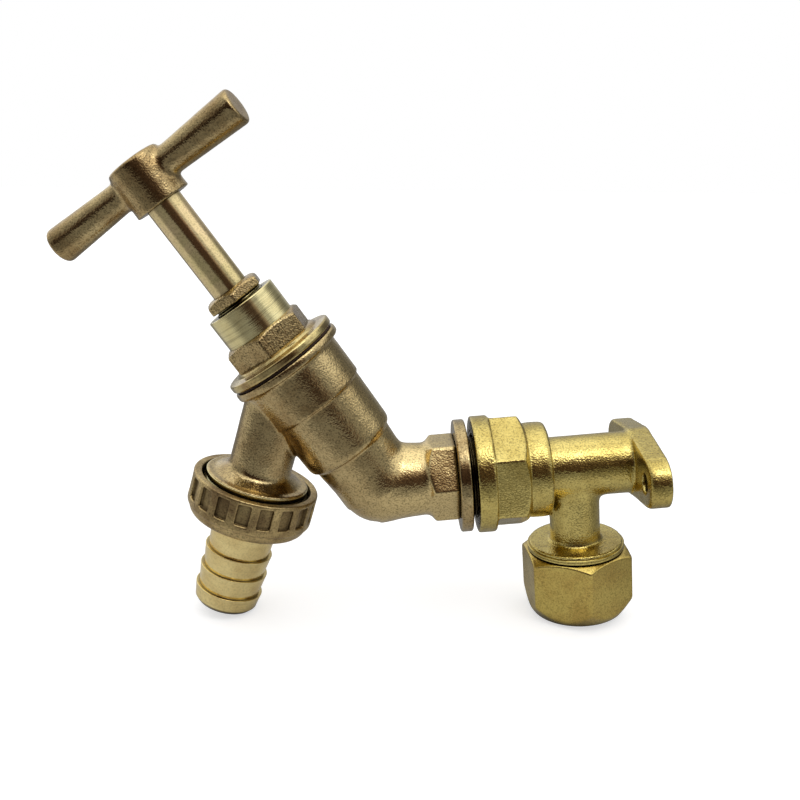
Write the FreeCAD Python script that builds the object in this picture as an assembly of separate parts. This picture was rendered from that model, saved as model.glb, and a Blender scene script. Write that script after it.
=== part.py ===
import FreeCAD, Part
import math
import os

# Garden tap with a hose union, screwed into a wall plate elbow that takes a 15 mm copper pipe.
# All sizes are in millimetres. The origin is the centre of the wall plate's back face, +X runs into
# the wall, +Z is up, and the water way, the spindle and the outlet all lie in the plane Y = 0.

# Standard pipe threads: major diameter, pitch and depth of the groove
G_HALF_DIAMETER = 20.955
G_THREE_QUARTER_DIAMETER = 26.441
G_PITCH = 1.814
G_DEPTH = 1.162

# Clearances
THREAD_CLEARANCE = 0.1
RUNNING_CLEARANCE = 0.08
LOOSE_CLEARANCE = 0.3
SEAT_GAP = 0.05

# Wall plate elbow: the plate on the wall
PLATE_THICKNESS = 5.0
PLATE_CENTRE_RADIUS = 8.2
LUG_RADIUS = 6.0
SCREW_SPACING = 29.0
SCREW_HOLE_DIAMETER = 4.5
PLATE_EDGE_ROUNDING = 1.0

# Wall plate elbow: the arm from the plate to the socket, with distances measured from the wall
ARM_DIAMETER = 14.8
SHOULDER_START = 24.4
SHOULDER_WALL = 0.92
SHOULDER_LENGTH = 5.4
SHOULDER_ROUNDING = 1.4
SOCKET_HEX_WALL = 1.52
SOCKET_HEX_LENGTH = 8.1
COLLAR_WALL = 3.52
COLLAR_LENGTH = 4.3
COLLAR_ROUNDING = 0.5
SOCKET_DEPTH = 12.6
ARM_WATERWAY = 9.0

# Wall plate elbow: the branch down to the pipe, with distances measured from the arm's axis
BRANCH_FROM_WALL = 18.15
BRANCH_DIAMETER = 12.0
BRANCH_LENGTH = 18.6
BRANCH_FLARE_LENGTH = 1.0
BRANCH_WATERWAY = 8.6
COLLAR_RING_OVERHANG = 1.17
COLLAR_RING_LENGTH = 1.0
COLLAR_RING_GROOVE = 0.15
PIPE_DIAMETER = 15.0
PIPE_SOCKET_CLEARANCE = 0.1
BRANCH_THREAD_LENGTH = 9.2
PIPE_STOP_DEPTH = 8.6

# Compression joint
OLIVE_LENGTH = 5.5
OLIVE_WALL_AT_ENDS = 0.4
OLIVE_WALL_AT_MIDDLE = 1.25
COMPRESSION_NUT_WALL = 1.52
COMPRESSION_NUT_GAP = 0.3
COMPRESSION_NUT_BASE = 1.8
COMPRESSION_NUT_TURN = -3.3
COMPRESSION_DOME_LENGTH = 4.2
COMPRESSION_DOME_SLOPE = 0.9

# Tap body: the inlet, with distances measured outwards from the elbow's socket face
INLET_GAP = 1.3
INLET_THREAD_LENGTH = 12.2
INLET_FLANGE_OVERHANG = 3.02
INLET_FLANGE_THICKNESS = 2.8
INLET_FLATS = 18.5
INLET_HEX_LENGTH = 6.9
INLET_TUBE_DIAMETER = 17.2
INLET_WATERWAY = 12.0
BEND_FROM_WALL = 65.05
BEND_DIAMETER = 19.0

# Tap body: the barrel, with distances measured from the bend along the bonnet's axis
BONNET_ANGLE = 59.1
BARREL_START = 11.2
BARREL_BOTTOM_DIAMETER = 22.8
BARREL_TOP_DIAMETER = 23.9
BARREL_ROUNDING = 1.6
BARREL_NECK_DIAMETER = 20.4
BAND_START = 25.5
BAND_DIAMETER = 24.5
RIM_START = 35.8
RIM_OVERHANG = 4.0
RIM_THICKNESS = 2.0
RIM_ROUNDING = 0.5
CHAMBER_FLOOR = 18.0
CHAMBER_CLEARANCE = 1.2
SEAT_HEIGHT = 1.5
SEAT_WIDTH = 1.4

# Tap body: the spout, with distances measured along its axis from where it meets the bonnet's axis
OUTLET_ANGLE = 20.5
OUTLET_MEETS_AT = 36.4
SPOUT_START = 8.0
SPOUT_DIAMETER = 15.0
SPOUT_LENGTH = 26.4
SPOUT_FLARE_LENGTH = 2.4
SPOUT_RING_DIAMETER = 24.8
SPOUT_RING_LENGTH = 1.6
SPOUT_THREAD_LENGTH = 5.3
SPOUT_WATERWAY = 10.0
SPOUT_MOUTH_DIAMETER = 15.0
SPOUT_MOUTH_DEPTH = 6.0

# Bonnet
BONNET_WASHER_THICKNESS = 0.5
BONNET_WASHER_INSET = 0.8
BONNET_THREAD_DIAMETER = 20.0
BONNET_THREAD_PITCH = 1.2
BONNET_THREAD_DEPTH = 0.7
BONNET_THREAD_LENGTH = 7.0
BONNET_FLANGE_INSET = 0.05
BONNET_FLANGE_THICKNESS = 1.9
BONNET_FLANGE_ROUNDING = 0.5
BONNET_CONE_LENGTH = 0.8
BONNET_FLATS = 18.5
BONNET_HEX_LENGTH = 5.8
BONNET_TOP_DIAMETER = 17.3
BONNET_TOP_LENGTH = 7.6
BONNET_TOP_CHAMFER = 0.35
BONNET_SKIRT_BORE = 15.0
BONNET_SKIRT_BORE_DEPTH = 2.0
BONNET_NECK_LENGTH = 1.5
STUFFING_BOX_DEPTH = 5.8

# Gland
GLAND_THREAD_DIAMETER = 12.4
GLAND_THREAD_PITCH = 1.0
GLAND_THREAD_DEPTH = 0.55
GLAND_SHANK_LENGTH = 3.9
GLAND_SHOWN_THREAD = 0.9
GLAND_FLATS = 13.0
GLAND_HEX_LENGTH = 2.9
GLAND_LAND_DIAMETER = 10.4
GLAND_TURN = 6.0
GLAND_WASHER_THICKNESS = 0.5

# Spindle and handle
STEM_DIAMETER = 8.7
SPINDLE_THREAD_DIAMETER = 11.0
SPINDLE_THREAD_PITCH = 2.4
SPINDLE_THREAD_DEPTH = 0.9
SPINDLE_THREAD_LENGTH = 10.0
SPINDLE_FOOT_DIAMETER = 9.6
SPINDLE_TURNS = 2.5
STEM_SHOWN_LENGTH = 23.7
SQUARE_FLATS = 6.2
SQUARE_CLEARANCE = 0.1
HUB_HEIGHT = 11.3
HUB_BOTTOM_DIAMETER = 13.6
HUB_TOP_DIAMETER = 13.0
HUB_ROUNDING = 1.3
HUB_WEB = 1.8
BAR_LENGTH = 53.7
BAR_END_DIAMETER = 8.6
BAR_WAIST_DIAMETER = 6.5
BAR_FROM_HUB_TOP = 4.9
BAR_END_ROUNDING = 0.9
BAR_TURN = -8.7
SCREW_DIAMETER = 3.9
SCREW_HEAD_DIAMETER = 7.2
SCREW_HEAD_HEIGHT = 1.5
SCREW_LENGTH = 9.0
SCREW_SLOT_WIDTH = 0.9
SCREW_SLOT_DEPTH = 0.6

# Jumper valve
TAP_WASHER_THICKNESS = 3.5
TAP_WASHER_DIAMETER = 16.6
TAP_WASHER_HOLE = 4.4
JUMPER_PLATE_THICKNESS = 1.5
JUMPER_PLATE_INSET = 0.1
JUMPER_STEM_DIAMETER = 6.8
JUMPER_STEM_LENGTH = 12.0
JUMPER_PEG_DIAMETER = 4.2
WASHER_NUT_FLATS = 7.0
WASHER_NUT_HEIGHT = 2.4
WASHER_NUT_LAND_DIAMETER = 6.6

# Hose union
UNION_NUT_WALL = 1.98
UNION_NUT_RIM_LENGTH = 1.0
UNION_RIB_COUNT = 18
UNION_RIB_WIDTH = 2.6
UNION_RIB_LENGTH = 6.8
UNION_RIB_DEPTH = 0.5
UNION_NUT_LIP = 1.8
UNION_NUT_ROUNDING = 3.0
UNION_WASHER_THICKNESS = 1.6
UNION_WASHER_HOLE = 13.0
TAIL_FLANGE_THICKNESS = 1.9
TAIL_FLANGE_INSET = 0.62
TAIL_BARB_DIAMETER = 16.6
TAIL_GROOVE_DIAMETER = 15.0
TAIL_BORE = 11.0
TAIL_FIRST_BARB = 7.1
TAIL_BARB_PITCH = 5.2
TAIL_BARB_COUNT = 3
TAIL_TIP_LENGTH = 4.4

# Values that follow from the sizes above
Z_AXIS = FreeCAD.Vector(0, 0, 1)
Y_AXIS = FreeCAD.Vector(0, 1, 0)
FULL_TURN = 360
CHAMFER_ANGLE = 30
HEXAGON_SIDES = 6
HEXAGON_STEP = FULL_TURN / HEXAGON_SIDES
CORNER_OVER_FLATS = 1 / math.sqrt(3)
THREAD_CREST_SHARE = 0.15
SOCKET_FACE = SHOULDER_START + SHOULDER_LENGTH + SOCKET_HEX_LENGTH + COLLAR_LENGTH
INLET_FLANGE_START = SOCKET_FACE + INLET_GAP
INLET_HEX_START = INLET_FLANGE_START + INLET_FLANGE_THICKNESS
INLET_TUBE_START = INLET_HEX_START + INLET_HEX_LENGTH
INLET_END = INLET_FLANGE_START - INLET_THREAD_LENGTH
INLET_FLANGE_DIAMETER = G_HALF_DIAMETER + 2 * INLET_FLANGE_OVERHANG
SHOULDER_DIAMETER = G_HALF_DIAMETER + 2 * SHOULDER_WALL
SOCKET_FLATS = G_HALF_DIAMETER + 2 * SOCKET_HEX_WALL
COLLAR_DIAMETER = G_HALF_DIAMETER + 2 * COLLAR_WALL
COLLAR_RING_DIAMETER = G_HALF_DIAMETER + 2 * COLLAR_RING_OVERHANG
COMPRESSION_FLATS = G_HALF_DIAMETER + 2 * COMPRESSION_NUT_WALL
COMPRESSION_DOME_DIAMETER = COMPRESSION_FLATS - 2 * COMPRESSION_DOME_SLOPE
RING_START = BRANCH_LENGTH + BRANCH_FLARE_LENGTH
BRANCH_THREAD_START = RING_START + COLLAR_RING_LENGTH
BRANCH_END = BRANCH_THREAD_START + BRANCH_THREAD_LENGTH
PIPE_SOCKET_RADIUS = PIPE_DIAMETER / 2 + PIPE_SOCKET_CLEARANCE
RIM_TOP = RIM_START + RIM_THICKNESS
RIM_DIAMETER = BONNET_THREAD_DIAMETER + 2 * RIM_OVERHANG
CHAMBER_DIAMETER = TAP_WASHER_DIAMETER + 2 * CHAMBER_CLEARANCE
JUMPER_PLATE_DIAMETER = TAP_WASHER_DIAMETER - 2 * JUMPER_PLATE_INSET
BONNET_FLANGE_DIAMETER = RIM_DIAMETER - 2 * BONNET_FLANGE_INSET
BONNET_WASHER_DIAMETER = RIM_DIAMETER - 2 * BONNET_WASHER_INSET
BONNET_SEAT = RIM_TOP + BONNET_WASHER_THICKNESS
BONNET_SKIRT_END = BONNET_SEAT - BONNET_THREAD_LENGTH
BONNET_HEX_START = BONNET_SEAT + BONNET_FLANGE_THICKNESS + BONNET_CONE_LENGTH
BONNET_TOP_START = BONNET_HEX_START + BONNET_HEX_LENGTH
BONNET_TOP = BONNET_TOP_START + BONNET_TOP_LENGTH
STUFFING_BOX_FLOOR = BONNET_TOP - STUFFING_BOX_DEPTH
BONNET_NECK_START = STUFFING_BOX_FLOOR - BONNET_NECK_LENGTH
GLAND_SHANK_START = BONNET_TOP + GLAND_SHOWN_THREAD - GLAND_SHANK_LENGTH
GLAND_HEX_START = BONNET_TOP + GLAND_SHOWN_THREAD
GLAND_TOP = GLAND_HEX_START + GLAND_HEX_LENGTH
SEAT_TOP = CHAMBER_FLOOR + SEAT_HEIGHT
TAP_WASHER_START = SEAT_TOP + SEAT_GAP
JUMPER_PLATE_START = TAP_WASHER_START + TAP_WASHER_THICKNESS
JUMPER_STEM_START = JUMPER_PLATE_START + JUMPER_PLATE_THICKNESS
SPINDLE_FOOT = JUMPER_STEM_START + LOOSE_CLEARANCE
SPINDLE_LIFT = SPINDLE_THREAD_PITCH * SPINDLE_TURNS
SPINDLE_THREAD_END = BONNET_NECK_START - SPINDLE_LIFT - RUNNING_CLEARANCE
SPINDLE_THREAD_START = SPINDLE_THREAD_END - SPINDLE_THREAD_LENGTH
HUB_START = GLAND_TOP + STEM_SHOWN_LENGTH
HUB_TOP = HUB_START + HUB_HEIGHT
SQUARE_TOP = HUB_TOP - HUB_WEB
SPOUT_RING_START = SPOUT_LENGTH + SPOUT_FLARE_LENGTH
SPOUT_THREAD_START = SPOUT_RING_START + SPOUT_RING_LENGTH
SPOUT_END = SPOUT_THREAD_START + SPOUT_THREAD_LENGTH
UNION_NUT_START = SPOUT_THREAD_START - UNION_NUT_RIM_LENGTH / 2
UNION_WASHER_START = SPOUT_END + SEAT_GAP
TAIL_START = UNION_WASHER_START + UNION_WASHER_THICKNESS
TAIL_NECK_START = TAIL_START + TAIL_FLANGE_THICKNESS
UNION_LIP_START = TAIL_NECK_START + THREAD_CLEARANCE
UNION_NUT_END = UNION_LIP_START + UNION_NUT_LIP
UNION_NUT_DIAMETER = G_THREE_QUARTER_DIAMETER + 2 * UNION_NUT_WALL
TAIL_FLANGE_DIAMETER = G_THREE_QUARTER_DIAMETER - 2 * TAIL_FLANGE_INSET
TAIL_LAST_BARB = UNION_NUT_END + TAIL_FIRST_BARB + TAIL_BARB_PITCH * (TAIL_BARB_COUNT - 1)
TAIL_END = TAIL_LAST_BARB + TAIL_TIP_LENGTH


def axis_frame(x, z, lean):
    """The placement at (x, 0, z) whose local Z is the row's Z turned by lean degrees about Y."""
    return FreeCAD.Placement(FreeCAD.Vector(x, 0, z), FreeCAD.Rotation(Y_AXIS, lean))


def along_axis(frame, distance):
    return frame.multVec(FreeCAD.Vector(0, 0, distance))


WALL_FRAME = axis_frame(0, 0, -90)
BRANCH_FRAME = axis_frame(-BRANCH_FROM_WALL, 0, 180)
BONNET_FRAME = axis_frame(-BEND_FROM_WALL, 0, BONNET_ANGLE - 90)
OUTLET_ORIGIN = along_axis(BONNET_FRAME, OUTLET_MEETS_AT)
OUTLET_FRAME = axis_frame(OUTLET_ORIGIN.x, OUTLET_ORIGIN.z, OUTLET_ANGLE - 180)


def point(radius, height):
    return FreeCAD.Vector(radius, 0, height)


def outline_edges(steps):
    """Edges through steps: (radius, height) is a line's end, and a step of four numbers is an arc."""
    edges = []
    here = point(*steps[0])
    for step in steps[1:]:
        end = point(*step[-2:])
        if len(step) == 4:
            edges.append(Part.Arc(here, point(*step[:2]), end).toShape())
        else:
            edges.append(Part.LineSegment(here, end).toShape())
        here = end
    edges.append(Part.LineSegment(here, point(*steps[0])).toShape())
    return edges


def turned(steps):
    """A solid turned about Z from a closed outline of (radius, height) steps."""
    face = Part.Face(Part.Wire(outline_edges(steps)))
    return face.revolve(FreeCAD.Vector(0, 0, 0), Z_AXIS, FULL_TURN)


def rounding(radius, height, size, outwards, upwards):
    """Two steps that round a turned corner with a quarter circle.

    The corner is at (radius, height). outwards and upwards are 1 or -1 and say from which side of
    the corner the outline arrives and to which side it leaves: along the face, then up the edge.
    """
    middle = size * (1 - math.sqrt(0.5))
    start = (radius - size, height)
    arc = (radius - middle, height + upwards * middle, radius, height + upwards * size)
    if outwards > 0:
        return [start, arc]
    start = (radius, height + upwards * size)
    arc = (radius - middle, height + upwards * middle, radius - size, height)
    return [start, arc]


def rod(radius, start, end):
    return Part.makeCylinder(radius, end - start, FreeCAD.Vector(0, 0, start))


def cone(start_radius, end_radius, start, end):
    if start_radius == end_radius:
        return rod(start_radius, start, end)
    return Part.makeCone(start_radius, end_radius, end - start, FreeCAD.Vector(0, 0, start))


def ring(inner_radius, outer_radius, start, end):
    return rod(outer_radius, start, end).cut(rod(inner_radius, start, end))


def thread(major_radius, depth, pitch, start, end, inner_radius=0):
    """A threaded shank as a stack of grooves, one per pitch, with flat crests."""
    crest = THREAD_CREST_SHARE * pitch
    count = max(1, round((end - start) / pitch))
    step = (end - start) / count
    steps = [(inner_radius, start), (major_radius - depth, start)]
    for turn in range(count):
        foot = start + turn * step
        steps.append((major_radius, foot + (step - crest) / 2))
        steps.append((major_radius, foot + (step + crest) / 2))
        steps.append((major_radius - depth, foot + step))
    steps.append((inner_radius, end))
    return turned(steps)


def hexagon(flats, start, end, turn=0):
    """A hexagonal prism with a flat towards the local X axis, turned by turn degrees."""
    radius = flats * CORNER_OVER_FLATS
    corners = [math.radians(turn + HEXAGON_STEP * (side + 0.5)) for side in range(HEXAGON_SIDES + 1)]
    points = [FreeCAD.Vector(radius * math.cos(a), radius * math.sin(a), start) for a in corners]
    return Part.Face(Part.makePolygon(points)).extrude(FreeCAD.Vector(0, 0, end - start))


def hexagon_end(flats, land_diameter, end, inwards):
    """Two points of an outline that turns off a hexagon's corners, from the face at end inwards."""
    corner = flats * CORNER_OVER_FLATS
    drop = (corner - land_diameter / 2) * math.tan(math.radians(CHAMFER_ANGLE))
    return [(land_diameter / 2, end), (corner, end + inwards * drop)]


def chamfered_hexagon(flats, start, end, turn=0, bottom=0, top=0):
    """A hexagonal prism. bottom and top are the diameters of its turned-off ends, or 0 if square."""
    corner = flats * CORNER_OVER_FLATS
    low = hexagon_end(flats, bottom, start, 1) if bottom else [(corner, start)]
    high = hexagon_end(flats, top, end, -1)[::-1] if top else [(corner, end)]
    return hexagon(flats, start, end, turn).common(turned([(0, start)] + low + high + [(0, end)]))


def square_bar(flats, start, end):
    return Part.makeBox(flats, flats, end - start, FreeCAD.Vector(-flats / 2, -flats / 2, start))


def lug_plate(thickness):
    """The wall plate: a round middle and two round lugs along Y, joined by straight sides."""
    reach = SCREW_SPACING / 2
    lean = math.acos((PLATE_CENTRE_RADIUS - LUG_RADIUS) / reach)

    def at(centre, radius, angle):
        return FreeCAD.Vector(radius * math.sin(angle), centre + radius * math.cos(angle), 0)

    edges = []
    for side in (1, -1):
        turn = 0 if side > 0 else math.pi
        middle = [at(0, PLATE_CENTRE_RADIUS, turn + a) for a in (lean, math.pi / 2, math.pi - lean)]
        lug = [at(side * reach, LUG_RADIUS, turn + a) for a in (-lean, 0, lean)]
        edges.append(Part.Arc(*lug).toShape())
        edges.append(Part.LineSegment(lug[2], middle[0]).toShape())
        edges.append(Part.Arc(*middle).toShape())
        far_lug = at(-side * reach, LUG_RADIUS, turn + math.pi - lean)
        edges.append(Part.LineSegment(middle[2], far_lug).toShape())
    plate = Part.Face(Part.Wire(edges)).extrude(FreeCAD.Vector(0, 0, thickness))
    front = [edge for edge in plate.Edges if edge.BoundBox.ZMin > thickness - PLATE_EDGE_ROUNDING]
    return plate.makeFillet(PLATE_EDGE_ROUNDING, front)


def elbow_arm():
    """The arm along the wall's normal: tube, shoulder, hexagon and collar."""
    hex_start = SHOULDER_START + SHOULDER_LENGTH
    collar_start = hex_start + SOCKET_HEX_LENGTH
    shoulder_radius = SHOULDER_DIAMETER / 2
    collar_radius = COLLAR_DIAMETER / 2
    shoulder = turned([(0, SHOULDER_START)]
                      + rounding(shoulder_radius, SHOULDER_START, SHOULDER_ROUNDING, 1, 1)
                      + [(shoulder_radius, hex_start), (0, hex_start)])
    collar = turned([(0, collar_start)]
                    + rounding(collar_radius, collar_start, COLLAR_ROUNDING, 1, 1)
                    + rounding(collar_radius, SOCKET_FACE, COLLAR_ROUNDING, -1, -1)
                    + [(0, SOCKET_FACE)])
    arm = rod(ARM_DIAMETER / 2, PLATE_THICKNESS / 2, SHOULDER_START + SHOULDER_ROUNDING)
    socket = hexagon(SOCKET_FLATS, hex_start, collar_start, HEXAGON_STEP / 2)
    return arm.fuse([shoulder, socket, collar])


def elbow_branch():
    """The branch down to the pipe: tube, flare, ring with its turned groove, and thread."""
    ring_radius = COLLAR_RING_DIAMETER / 2
    groove = COLLAR_RING_GROOVE
    middle = RING_START + COLLAR_RING_LENGTH / 2
    flare_end = ring_radius - groove
    tube = rod(BRANCH_DIAMETER / 2, 0, BRANCH_LENGTH)
    flare = cone(BRANCH_DIAMETER / 2, flare_end, BRANCH_LENGTH, RING_START)
    band = turned([(0, RING_START), (flare_end, RING_START), (ring_radius, RING_START + groove),
                   (ring_radius, middle - groove), (ring_radius - groove, middle),
                   (ring_radius, middle + groove), (ring_radius, BRANCH_THREAD_START),
                   (0, BRANCH_THREAD_START)])
    shank = thread(G_HALF_DIAMETER / 2, G_DEPTH, G_PITCH, BRANCH_THREAD_START, BRANCH_END)
    return tube.fuse([flare, band, shank])


def olive_slope():
    return (OLIVE_WALL_AT_MIDDLE - OLIVE_WALL_AT_ENDS) / (OLIVE_LENGTH / 2)


def olive_start():
    """Where the olive's nose lies inside the mouth of the branch."""
    return BRANCH_END - OLIVE_LENGTH / 4


def pipe_socket():
    """The space for the pipe in the branch, with the cone that the olive seats in."""
    nose_radius = PIPE_SOCKET_RADIUS + OLIVE_WALL_AT_ENDS
    mouth_radius = nose_radius + olive_slope() * (BRANCH_END - olive_start()) + THREAD_CLEARANCE
    cone_length = (mouth_radius - PIPE_SOCKET_RADIUS) / olive_slope()
    socket = rod(PIPE_SOCKET_RADIUS, BRANCH_END - PIPE_STOP_DEPTH, BRANCH_END)
    return socket.fuse(cone(PIPE_SOCKET_RADIUS, mouth_radius, BRANCH_END - cone_length, BRANCH_END))


def wall_plate_elbow():
    """The brass elbow that is screwed to the wall."""
    plate = lug_plate(PLATE_THICKNESS)
    body = plate.fuse(elbow_arm())
    body.Placement = WALL_FRAME
    branch = elbow_branch()
    branch.Placement = BRANCH_FRAME
    body = body.fuse(branch)

    socket = rod(G_HALF_DIAMETER / 2 + THREAD_CLEARANCE, SOCKET_FACE - SOCKET_DEPTH, SOCKET_FACE)
    arm_waterway = rod(ARM_WATERWAY / 2, BRANCH_FROM_WALL, SOCKET_FACE)
    arm_hole = socket.fuse(arm_waterway)
    for side in (1, -1):
        hole = rod(SCREW_HOLE_DIAMETER / 2, 0, PLATE_THICKNESS)
        hole.translate(FreeCAD.Vector(0, side * SCREW_SPACING / 2, 0))
        arm_hole = arm_hole.fuse(hole)
    arm_hole.Placement = WALL_FRAME
    branch_hole = rod(BRANCH_WATERWAY / 2, 0, BRANCH_END).fuse(pipe_socket())
    branch_hole = branch_hole.fuse(Part.makeSphere(ARM_WATERWAY / 2))
    branch_hole.Placement = BRANCH_FRAME
    return body.cut(arm_hole).cut(branch_hole)


def olive():
    """The soft brass ring that grips the pipe, thickest at its middle."""
    inner = PIPE_SOCKET_RADIUS
    start = olive_start()
    end_radius = inner + OLIVE_WALL_AT_ENDS
    shape = turned([(inner, start), (end_radius, start),
                    (inner + OLIVE_WALL_AT_MIDDLE, start + OLIVE_LENGTH / 2),
                    (end_radius, start + OLIVE_LENGTH), (inner, start + OLIVE_LENGTH)])
    shape.Placement = BRANCH_FRAME
    return shape


def compression_nut():
    """The hexagonal nut that presses the olive onto the pipe."""
    start = BRANCH_THREAD_START + COMPRESSION_NUT_GAP
    hole_radius = PIPE_SOCKET_RADIUS + RUNNING_CLEARANCE
    tail_radius = PIPE_SOCKET_RADIUS + OLIVE_WALL_AT_ENDS + THREAD_CLEARANCE
    olive_end = olive_start() + OLIVE_LENGTH
    cone_start = olive_start() + OLIVE_LENGTH / 2 + THREAD_CLEARANCE
    cone_start_radius = tail_radius + olive_slope() * (olive_end - cone_start)
    cone_end = olive_end + (tail_radius - hole_radius) / olive_slope()
    end = cone_end + COMPRESSION_NUT_BASE
    corner = COMPRESSION_FLATS * CORNER_OVER_FLATS
    dome = cone(corner, COMPRESSION_DOME_DIAMETER / 2, end - COMPRESSION_DOME_LENGTH, end)
    body = chamfered_hexagon(COMPRESSION_FLATS, start, end, COMPRESSION_NUT_TURN,
                             bottom=COLLAR_RING_DIAMETER)
    body = body.common(rod(corner, start, end - COMPRESSION_DOME_LENGTH).fuse(dome))
    bore = rod(G_HALF_DIAMETER / 2 + THREAD_CLEARANCE, start, cone_start)
    seat = cone(cone_start_radius, hole_radius, cone_start, cone_end)
    shape = body.cut(bore).cut(seat).cut(rod(hole_radius, start, end))
    shape.Placement = BRANCH_FRAME
    return shape


def body_inlet():
    """The tap's inlet: thread, flange, hexagon with its flats up, and tube to the bend."""
    flange_radius = INLET_FLANGE_DIAMETER / 2
    shank = thread(G_HALF_DIAMETER / 2, G_DEPTH, G_PITCH, INLET_END, INLET_FLANGE_START)
    flange = turned([(0, INLET_FLANGE_START)]
                    + rounding(flange_radius, INLET_FLANGE_START, COLLAR_ROUNDING, 1, 1)
                    + rounding(flange_radius, INLET_HEX_START, COLLAR_ROUNDING, -1, -1)
                    + [(0, INLET_HEX_START)])
    grip = chamfered_hexagon(INLET_FLATS, INLET_HEX_START, INLET_TUBE_START, top=INLET_TUBE_DIAMETER)
    tube = cone(INLET_TUBE_DIAMETER / 2, BEND_DIAMETER / 2, INLET_TUBE_START, BEND_FROM_WALL)
    return shank.fuse([flange, grip, tube])


def body_barrel():
    """The barrel along the bonnet's axis: neck, rounded bottom, raised band and rim."""
    neck_radius = BARREL_NECK_DIAMETER / 2
    bottom_radius = BARREL_BOTTOM_DIAMETER / 2
    top_radius = BARREL_TOP_DIAMETER / 2
    band_radius = BAND_DIAMETER / 2
    rim_radius = RIM_DIAMETER / 2
    neck = cone(BEND_DIAMETER / 2, neck_radius, 0, BARREL_START)
    barrel = turned([(0, BARREL_START)]
                    + rounding(bottom_radius, BARREL_START, BARREL_ROUNDING, 1, 1)
                    + [(top_radius, BAND_START), (band_radius, BAND_START + band_radius - top_radius),
                       (band_radius, RIM_START)]
                    + rounding(rim_radius, RIM_START, RIM_ROUNDING, 1, 1)
                    + rounding(rim_radius, RIM_TOP, RIM_ROUNDING, -1, -1)
                    + [(0, RIM_TOP)])
    return neck.fuse([barrel, Part.makeSphere(BEND_DIAMETER / 2)])


def body_spout():
    """The spout along the outlet's axis: tube, flare, ring and hose union thread."""
    ring_radius = SPOUT_RING_DIAMETER / 2
    tube = rod(SPOUT_DIAMETER / 2, SPOUT_START, SPOUT_LENGTH)
    flare = cone(SPOUT_DIAMETER / 2, ring_radius, SPOUT_LENGTH, SPOUT_RING_START)
    collar = rod(ring_radius, SPOUT_RING_START, SPOUT_THREAD_START)
    shank = thread(G_THREE_QUARTER_DIAMETER / 2, G_DEPTH, G_PITCH, SPOUT_THREAD_START, SPOUT_END)
    return tube.fuse([flare, collar, shank])


def barrel_hollow():
    """The chamber above the seat, the bonnet's threaded bore and the hole through the seat."""
    bore_radius = BONNET_THREAD_DIAMETER / 2 + THREAD_CLEARANCE
    seat_radius = INLET_WATERWAY / 2
    chamber = rod(CHAMBER_DIAMETER / 2, CHAMBER_FLOOR, RIM_TOP)
    seat = ring(seat_radius, seat_radius + SEAT_WIDTH, CHAMBER_FLOOR, SEAT_TOP)
    bore = rod(bore_radius, BONNET_SKIRT_END - LOOSE_CLEARANCE, RIM_TOP)
    return chamber.cut(seat).fuse([bore, rod(seat_radius, 0, CHAMBER_FLOOR),
                                   Part.makeSphere(seat_radius)])


def tap_body():
    """The cast body that joins inlet, barrel and spout, hollow all the way."""
    inlet = body_inlet()
    inlet.Placement = WALL_FRAME
    barrel = body_barrel()
    barrel.Placement = BONNET_FRAME
    spout = body_spout()
    spout.Placement = OUTLET_FRAME
    body = inlet.fuse([barrel, spout])

    inlet_hole = rod(INLET_WATERWAY / 2, INLET_END, BEND_FROM_WALL)
    inlet_hole.Placement = WALL_FRAME
    hollow = barrel_hollow()
    hollow.Placement = BONNET_FRAME
    outlet_hole = rod(SPOUT_WATERWAY / 2, SPOUT_START, SPOUT_END)
    mouth = rod(SPOUT_MOUTH_DIAMETER / 2, SPOUT_END - SPOUT_MOUTH_DEPTH, SPOUT_END)
    outlet_hole = outlet_hole.fuse(mouth)
    outlet_hole.Placement = OUTLET_FRAME
    return body.cut(inlet_hole).cut(hollow).cut(outlet_hole)


def bonnet_washer():
    """The fibre ring between the body's rim and the bonnet's flange."""
    inner = BONNET_THREAD_DIAMETER / 2 + THREAD_CLEARANCE
    shape = ring(inner, BONNET_WASHER_DIAMETER / 2, RIM_TOP, BONNET_SEAT)
    shape.Placement = BONNET_FRAME
    return shape


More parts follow.
